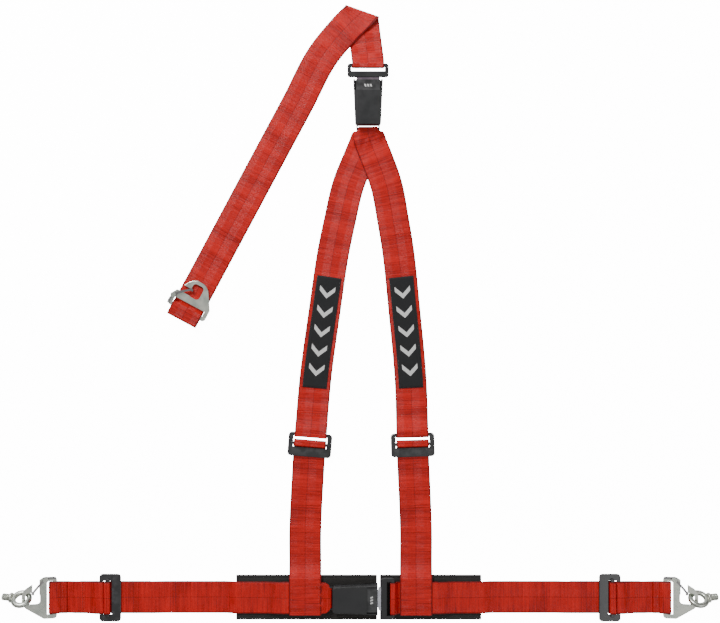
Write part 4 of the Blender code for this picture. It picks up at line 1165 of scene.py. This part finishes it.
@dataclass
class RearStrap:
    """The rear strap: from the tongue, folded over at a slant, and down to the rear hook."""

    plan: Plan
    fold_centre: tuple[float, float] = (0.0030, 0.4690)
    fold_radius: float = 0.0021
    run: tuple[tuple[float, float], ...] = (
        (-0.0240, 0.4425), (-0.0616, 0.3955), (-0.0959, 0.3299), (-0.1427, 0.2426), (-0.1895, 0.1552))
    crown: tuple[float, float] = (-0.2468, 0.0480)
    arm: tuple[float, float] = (0.0020, 0.0165)

    def arm_sections(self, heading: Array, height: float, square: Array, slanted: Array,
                     leaving: bool) -> Sections:
        """Sections that turn from square-cut to the fold's slant, or back.

        The across direction is a straight blend of the two by the distance from the fold.
        """
        share = np.linspace(0.12, 1.0, 9)
        reach = self.arm[1] + 0.003 + (self.arm[0] - self.arm[1] - 0.003) * share
        if leaving:
            share, reach = share[::-1], -reach[::-1]
        spot = np.array(self.fold_centre) - heading[None] * reach[:, None]
        across = square * (1 - share[:, None]) + slanted * share[:, None]
        ahead = np.broadcast_to([*heading, 0.0], (len(share), 3))
        return Sections(np.column_stack([spot, np.full(len(share), height)]), across, ahead.copy())

    def band(self) -> Band:
        """The whole strap as one band."""
        p = self.plan
        bar, outer = (p.rear_mouth + h for h in p.head)
        low, top = p.tongue_z
        centre = p.rear_centre
        upright = Route((centre, bar - 0.008), (centre, bar), (centre, bar + 0.008),
                        (centre - 0.0012, bar + 0.020), (centre - 0.0045, bar + 0.045), self.fold_centre)
        first, second = WEB_THICK / 2, WEB_THICK / 2 + LAYER
        start, past = upright.run_at(bar), upright.run_at(outer)
        path = rounded([
            (start + 0.047, first), (start + 0.020, first, EASE), (past, low - OFFSET, 0.004),
            (start - OFFSET, low - OFFSET), (start - OFFSET, top + OFFSET), (past, top + OFFSET, 0.003),
            (start + 0.022, second, 0.012), (start + 0.049, second, EASE), (start + 0.062, first, EASE),
            (upright.length - 0.024, first)])
        sections = along(upright, path, WEB_WIDTH)
        long_run = Route(self.fold_centre, *self.run, self.crown)
        rising = upright.heading(np.array([upright.length]))[0]
        falling = long_run.heading(np.array([0.0]))[0]
        crease = (rising + falling) / np.linalg.norm(rising + falling)
        crease = -crease if crease[0] > 0 else crease
        slanted = crease * (WEB_WIDTH / 2) / abs(crease[0] * rising[1] - crease[1] * rising[0])
        out = np.array([-crease[1], crease[0]])
        out = out if out[1] > 0 else -out
        slanted = np.array([*slanted, 0.0])
        square = np.array([-rising[1], rising[0], 0.0]) * WEB_WIDTH / 2
        sections = sections.joined(self.arm_sections(rising, first, square, slanted, False))
        turn = np.linspace(0, math.pi, 17)
        spot = np.array(self.fold_centre) + out * self.fold_radius * np.sin(turn)[:, None]
        sections = sections.joined(Sections(
            np.column_stack([spot, first + self.fold_radius * (1 - np.cos(turn))]),
            np.broadcast_to(slanted, (17, 3)).copy(),
            np.column_stack([out * np.cos(turn)[:, None], np.sin(turn)])))
        high = first + 2 * self.fold_radius
        square = np.array([falling[1], -falling[0], 0.0]) * WEB_WIDTH / 2
        square = square if square @ slanted > 0 else -square
        sections = sections.joined(self.arm_sections(falling, high, square, slanted, True))
        full, hook_z = long_run.length, 2 * LAYER
        crest, slot = full + p.hook_length + 0.0135, full + p.hook_length - p.hook_bar
        over = hook_z + p.hook_thick + OFFSET
        tail = along(long_run, rounded([
            (0.024, high), (0.078, high, 0.2), (0.160, first, 0.2), (crest, first, 0.0032),
            (crest, over, 0.0032), (slot - 0.0012, over, 0.003),
            (slot - p.hook_slot + 0.0025, second, 0.003), (full + 0.006, second)]), WEB_WIDTH)
        flip = -1.0 if tail.across[0] @ square < 0 else 1.0
        return Band(sections.joined(Sections(tail.middle, tail.across * flip, tail.heading)))

    def build(self, finishes: Finishes) -> None:
        """Make the strap with the seams of its two sewn ends."""
        band = self.band()
        sewing = Sewing()
        top = self.plan.rear_mouth + self.plan.head[0]
        for y in (top + 0.0395, top + 0.0425):
            sewing.seam(band, band.nearest(self.plan.rear_centre - 0.003, y))
        heading = np.array(self.crown) - np.array(self.run[-1])
        heading /= np.linalg.norm(heading)
        for reach in (0.0030, -0.0002):
            spot = np.array(self.crown) - heading * reach
            sewing.seam(band, band.nearest(float(spot[0]), float(spot[1]), highest=False))
        Strap("rear_strap", band, "rear_tongue", Hold.FOLDED, (), sewing).build(
            finishes, lambda piece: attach(piece, "rear_tongue"))


@dataclass
class LapPad:
    """A flat padded cover under a lap strap, with a rolled edge and a sewn channel inside it."""

    name: str
    ends: tuple[float, float]
    body: str
    width: float = 0.070
    corner: float = 0.0015
    least_corner: float = 0.0006
    channel: float = 0.0042
    profile: tuple[tuple[float, float], ...] = (
        (0.0300, 0.0000), (0.0200, 0.0000), (0.0100, 0.0000), (0.0040, 0.0000), (0.0016, 0.0001),
        (0.0005, 0.0006), (0.0001, 0.0012), (0.0000, 0.0019), (0.0003, 0.0027), (0.0010, 0.0034),
        (0.0020, 0.0038), (0.0030, 0.0037), (0.0038, 0.0031), (0.0042, 0.0029), (0.0047, 0.0031),
        (0.0056, 0.0037), (0.0070, 0.0040), (0.0090, 0.0040), (0.0120, 0.0040), (0.0200, 0.0040),
        (0.0300, 0.0040))

    def outline(self, inset: Array, steps: int = 40) -> tuple[Array, Array]:
        """Rings of the rounded rectangle at several insets.

        Each side has the same number of points, and each corner is a quarter turn of the corner's
        radius less the inset.
        """
        middle_x, half_x = sum(self.ends) / 2, (self.ends[1] - self.ends[0]) / 2
        radius = np.maximum(self.corner - inset, self.least_corner)
        turn = np.linspace(0, math.pi / 2, 7)
        xs, ys = [], []
        wide, tall = half_x - inset, self.width / 2 - inset
        share = np.linspace(-1, 1, steps + 1)[1:-1]
        for k, (sx, sy) in enumerate(((1, 1), (-1, 1), (-1, -1), (1, -1))):
            angle = turn + k * math.pi / 2
            xs.append((sx * (wide - radius))[:, None] + radius[:, None] * np.cos(angle))
            ys.append((sy * (tall - radius))[:, None] + radius[:, None] * np.sin(angle))
            flat_x, flat_y = (wide - radius)[:, None] * share, (tall - radius)[:, None] * share
            if k % 2 == 0:
                xs.append(-flat_x * sx)
                ys.append(np.broadcast_to((tall * sy)[:, None], flat_x.shape))
            else:
                xs.append(np.broadcast_to((wide * sx)[:, None], flat_y.shape))
                ys.append(-flat_y * sy)
        return middle_x + np.concatenate(xs, axis=1), LAP_LINE + np.concatenate(ys, axis=1)

    def build(self, finishes: Finishes) -> None:
        """Make the pad and its line of stitches; the cover dips a little between the stitches."""
        inset, height = np.array(self.profile).T
        x, y = self.outline(inset)
        z = np.broadcast_to(height[:, None], x.shape).copy()
        upper = (np.arange(len(inset)) > 9)[:, None] & (inset < 0.0095)[:, None]
        ripple = np.sin(x * 310 + y * 170) * np.sin(y * 260 - x * 120)
        z -= np.where(upper, 0.00016 * (1 + ripple), 0.0)
        points = np.stack([x, y, z], axis=-1)
        rows, columns = x.shape
        faces = [*map(tuple, grid_faces(rows, columns)), tuple(range(columns - 1, -1, -1)),
                 tuple(range((rows - 1) * columns, rows * columns))]
        pad = add_piece(self.name + "_cover", points, faces, finishes.pad, np.stack([x, y], axis=-1))
        outward(pad)
        ring_x, ring_y = self.outline(np.array([self.channel]), 200)
        sewing = Sewing(0.0030, 0.0038, 0.0006, 0.0003)
        sewing.ring(np.column_stack([ring_x[0], ring_y[0]]), 0.0029)
        hem = sewing.mesh(self.name + "_stitches", finishes.dark_thread)
        for piece in (pad, hem):
            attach(piece, self.body)
        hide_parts(self.name)


# Metalwork -----------------------------------------------------------------------------


@dataclass
class Eyebolt:
    """A forged eyebolt: ring, collar and a rolled thread."""

    side: int
    plan: Plan
    ring: float = 0.01225
    stock: float = 0.00425
    shank: float = 0.00555
    reach: float = 0.0142
    collar: float = 0.0078
    pitch: float = 0.00127
    depth: float = 0.00062
    lean: float = math.radians(37)
    droop: float = math.radians(9)
    ring_reach: float = 0.0535

    def place(self) -> Matrix:
        """The ring's frame: +x along the shank, y square to the ring."""
        p = self.plan
        facing = Matrix.Rotation(0 if self.side > 0 else math.pi, 4, "Z")
        hook = (Matrix.Translation((self.side * p.hook_x, LAP_LINE, 0)) @ facing
                @ Matrix.Translation((0, 0, HOOK_LIFT)) @ Matrix.Rotation(-p.hook_tilt, 4, "Y"))
        centre = hook @ Vector((self.ring_reach, 0, p.hook_thick / 2))
        return (Matrix.Translation(centre) @ facing @ Matrix.Rotation(self.side * self.lean, 4, "X")
                @ Matrix.Rotation(self.droop, 4, "Y"))

    def ring_points(self) -> Array:
        """A torus whose stock is a little flattened and thicker towards the shank."""
        around, turn = np.meshgrid(np.arange(64) / 64 * 2 * math.pi, np.arange(20) / 20 * 2 * math.pi,
                                   indexing="ij")
        flat = 1 - 0.05 * np.cos(2 * turn) ** 2
        reach = self.ring + self.stock * np.cos(turn) * flat
        return np.stack([reach * np.cos(around), self.stock * np.sin(turn) * flat,
                         reach * np.sin(around)], axis=-1)

    def shank_points(self) -> Array:
        """A surface of revolution: neck, collar, then a thread.

        The thread's radius falls and rises once a pitch along the axis and once a turn round it.
        """
        outer = self.ring + self.stock
        neck = np.array([(outer - 0.0034, 0.0040), (outer - 0.0024, 0.0062), (outer - 0.0016, 0.0074),
                         (outer - 0.0008, self.collar), (outer + 0.0014, self.collar),
                         (outer + 0.0019, self.collar - 0.0005), (outer + 0.0020, self.shank + 0.0004),
                         (outer + 0.0021, self.shank - 0.0003)])
        along_x = np.linspace(outer + 0.0024, outer + self.reach, 110)
        turn = np.arange(28) / 28 * 2 * math.pi
        phase = np.mod(along_x[:, None] / self.pitch - turn / (2 * math.pi), 1.0)
        thread = self.shank - self.depth * (1 - np.abs(2 * phase - 1))
        end = self.shank - 0.0012 + (outer + self.reach - along_x[:, None]) * 1.1
        thread = np.minimum(thread, end)
        x = np.concatenate([neck[:, 0], along_x])
        radius = np.vstack([np.broadcast_to(neck[:, 1:], (len(neck), 28)), thread])
        return np.stack([np.broadcast_to(x[:, None], radius.shape), radius * np.cos(turn),
                         radius * np.sin(turn)], axis=-1)

    def build(self, finishes: Finishes) -> None:
        """Make the eyebolt as one piece."""
        word = "left" if self.side < 0 else "right"
        ring, shank = self.ring_points(), self.shank_points()
        rows, columns = shank.shape[:2]
        base = ring.shape[0] * ring.shape[1]
        faces = [*map(tuple, grid_faces(64, 20, loop=True)),
                 *map(tuple, grid_faces(rows, columns) + base),
                 tuple(range(base + columns - 1, base - 1, -1)),
                 tuple(range(base + (rows - 1) * columns, base + rows * columns))]
        points = place_points(np.vstack([ring.reshape(-1, 3), shank.reshape(-1, 3)]), self.place())
        piece = add_piece(word + "_eyebolt_forging", points, faces, finishes.zinc)
        outward(piece)
        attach(piece, word + "_eyebolt")
        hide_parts(word + "_eyebolt")


@dataclass
class ButtonMark:
    """A small printed row of slanted bars on a buckle's push button."""

    name: str
    place: Matrix
    body: str
    top: float = 0.0180
    centre: float = -0.0095
    heights: tuple[float, ...] = (0.0040, 0.0040, 0.0040)
    stroke: float = 0.0026
    pitch: float = 0.0043
    rise: float = 0.00008

    def build(self, finishes: Finishes) -> None:
        """Make the bars as thin plates; each is a slanted box."""
        unit = np.array([(x, y, z) for z in (0, 1) for x, y in ((-1, -1), (1, -1), (1, 1), (-1, 1))], float)
        heights = np.array(self.heights)[:, None]
        spot = (np.arange(len(heights)) - (len(heights) - 1) / 2)[:, None] * self.pitch
        x = self.centre + unit[:, 0] * heights / 2
        y = spot + unit[:, 1] * self.stroke / 2 + unit[:, 0] * heights * 0.16
        z = self.top + SKIN + np.broadcast_to(unit[:, 2] * self.rise, x.shape)
        box = [(0, 3, 2, 1), (4, 5, 6, 7), (0, 1, 5, 4), (1, 2, 6, 5), (2, 3, 7, 6), (3, 0, 4, 7)]
        faces = [tuple(v + 8 * k for v in f) for k in range(len(heights)) for f in box]
        points = place_points(np.stack([x, y, z], axis=-1).reshape(-1, 3), self.place)
        piece = add_piece(self.name, points, faces, finishes.print_white, smooth=False)
        outward(piece)
        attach(piece, self.body)


@dataclass
class Hardware:
    """The carried-over buckles, tongues, adjusters and hooks, which only need their finishes."""

    nodes: dict[str, bpy.types.Object]
    record: dict

    def finish_for(self, node: str, slot: str, finishes: Finishes) -> bpy.types.Material:
        """The finish of one node."""
        if node == "lap_tongue_plate":
            return finishes.blade
        # The rear tongue's plate takes the darker copy of the tongue steel, which is painted shade.
        if node == "rear_tongue_plate":
            return finishes.shaded_blade
        if node.endswith("_hook_gate"):
            return finishes.spring
        return {Slot.PLASTIC.value: finishes.plastic, Slot.COATED.value: finishes.coated,
                Slot.ZINC.value: finishes.zinc, Slot.SPRING.value: finishes.spring,
                Slot.WEBBING.value: finishes.webbing, Slot.PAD.value: finishes.pad,
                Slot.LABEL.value: finishes.label}[slot]

    def dress(self, finishes: Finishes) -> None:
        """Give each node its finish."""
        for part in self.record["subparts"]:
            node = self.nodes.get(part["node"])
            if node is None or node.type != "MESH":
                continue
            finish = self.finish_for(part["node"], part["material_slot"], finishes)
            if not node.material_slots:
                continue
            for slot in node.material_slots:
                slot.link = "OBJECT"
                slot.material = finish
        log.info("dressed %d nodes", len(self.nodes))


# Studio --------------------------------------------------------------------------------


@dataclass(frozen=True)
class Studio:
    """A pale floor, soft lights and a camera looking straight down."""

    height: float = 1.80
    focal: float = 57.7
    centre: tuple[float, float] = (0.0, 0.003)
    sky: tuple[float, float, float, float] = (0.25, 0.90, 0.06, 0.62)
    glow: float = 14.0

    def floor(self) -> None:
        """Lay the floor just under the harness."""
        g = Graph("studio_floor")
        g.set(Base_Color=(0.94, 0.94, 0.94, 1.0), Roughness=0.9, Specular_IOR_Level=0.1,
              Emission_Color=(1.0, 1.0, 1.0, 1.0))
        seen = g.node("ShaderNodeLightPath", {}).outputs["Is Camera Ray"]
        g.link(g.math("MULTIPLY", seen, self.glow), "Emission Strength")
        reach = 8.0
        points = np.array([(-reach, -reach, -0.0003), (reach, -reach, -0.0003), (reach, reach, -0.0003),
                           (-reach, reach, -0.0003)])
        add_piece("floor", points, [(0, 1, 2, 3)], g.material, smooth=False)

    def light(self, name: str, at: tuple[float, float, float], size: float, power: float) -> None:
        """Hang a square lamp that faces the harness."""
        lamp = bpy.data.lights.new(name, "AREA")
        lamp.shape, lamp.size, lamp.energy = "SQUARE", size, power
        holder = bpy.data.objects.new(name, lamp)
        holder.location = at
        holder.rotation_euler = (Vector() - Vector(at)).to_track_quat("-Z", "Y").to_euler()
        bpy.context.collection.objects.link(holder)

    def build(self) -> None:
        """Set up the floor, the world, the lights and the camera."""
        self.floor()
        world = bpy.data.worlds.new("studio")
        world.use_nodes = True
        tree = world.node_tree
        split = tree.nodes.new("ShaderNodeSeparateXYZ")
        rise = tree.nodes.new("ShaderNodeMapRange")
        tree.links.new(tree.nodes.new("ShaderNodeTexCoord").outputs["Generated"], split.inputs[0])
        tree.links.new(split.outputs["Z"], rise.inputs[0])
        for socket, value in zip(range(1, 5), self.sky, strict=True):
            rise.inputs[socket].default_value = value
        tree.links.new(rise.outputs[0], tree.nodes["Background"].inputs[1])
        tree.nodes["Background"].inputs[0].default_value = (1.0, 1.0, 1.0, 1.0)
        bpy.context.scene.world = world
        self.light("key", (-1.1, 1.9, 1.5), 0.8, 74.0)
        self.light("fill", (1.2, -0.9, 2.0), 1.6, 12.0)
        camera = bpy.data.cameras.new("camera")
        camera.lens, camera.sensor_width = self.focal, 36.0
        camera.clip_start, camera.clip_end = 0.05, 50.0
        holder = bpy.data.objects.new("camera", camera)
        holder.location = (*self.centre, self.height)
        bpy.context.collection.objects.link(holder)
        bpy.context.scene.camera = holder


def main() -> None:
    """Load the frame, make every piece and set up the studio."""
    logging.basicConfig(level=logging.INFO, format="%(name)s: %(message)s")
    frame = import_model()
    plan = Plan()
    finishes = Finishes()
    Hardware(frame["nodes"], frame["record"]).dress(finishes)
    LapPad("left_lap_pad", plan.left_pad, "harness").build(finishes)
    LapPad("right_lap_pad", plan.right_pad, "lap_tongue").build(finishes)
    LapStraps(plan).build(finishes)
    ShoulderStraps(plan).build(finishes)
    RearStrap(plan).build(finishes)
    for side in (-1, 1):
        Eyebolt(side, plan).build(finishes)
    lap = Matrix.Translation((plan.lap_mouth, LAP_LINE, plan.pad_thick + GAP))
    rear = Matrix.Translation((plan.rear_centre, plan.rear_mouth, 0)) @ Matrix.Rotation(math.pi / 2, 4, "Z")
    ButtonMark("lap_button_mark", lap, "lap_button").build(finishes)
    ButtonMark("rear_button_mark", rear, "rear_button").build(finishes)
    Studio().build()
    bpy.context.view_layer.update()


if __name__ == "__main__":
    main()
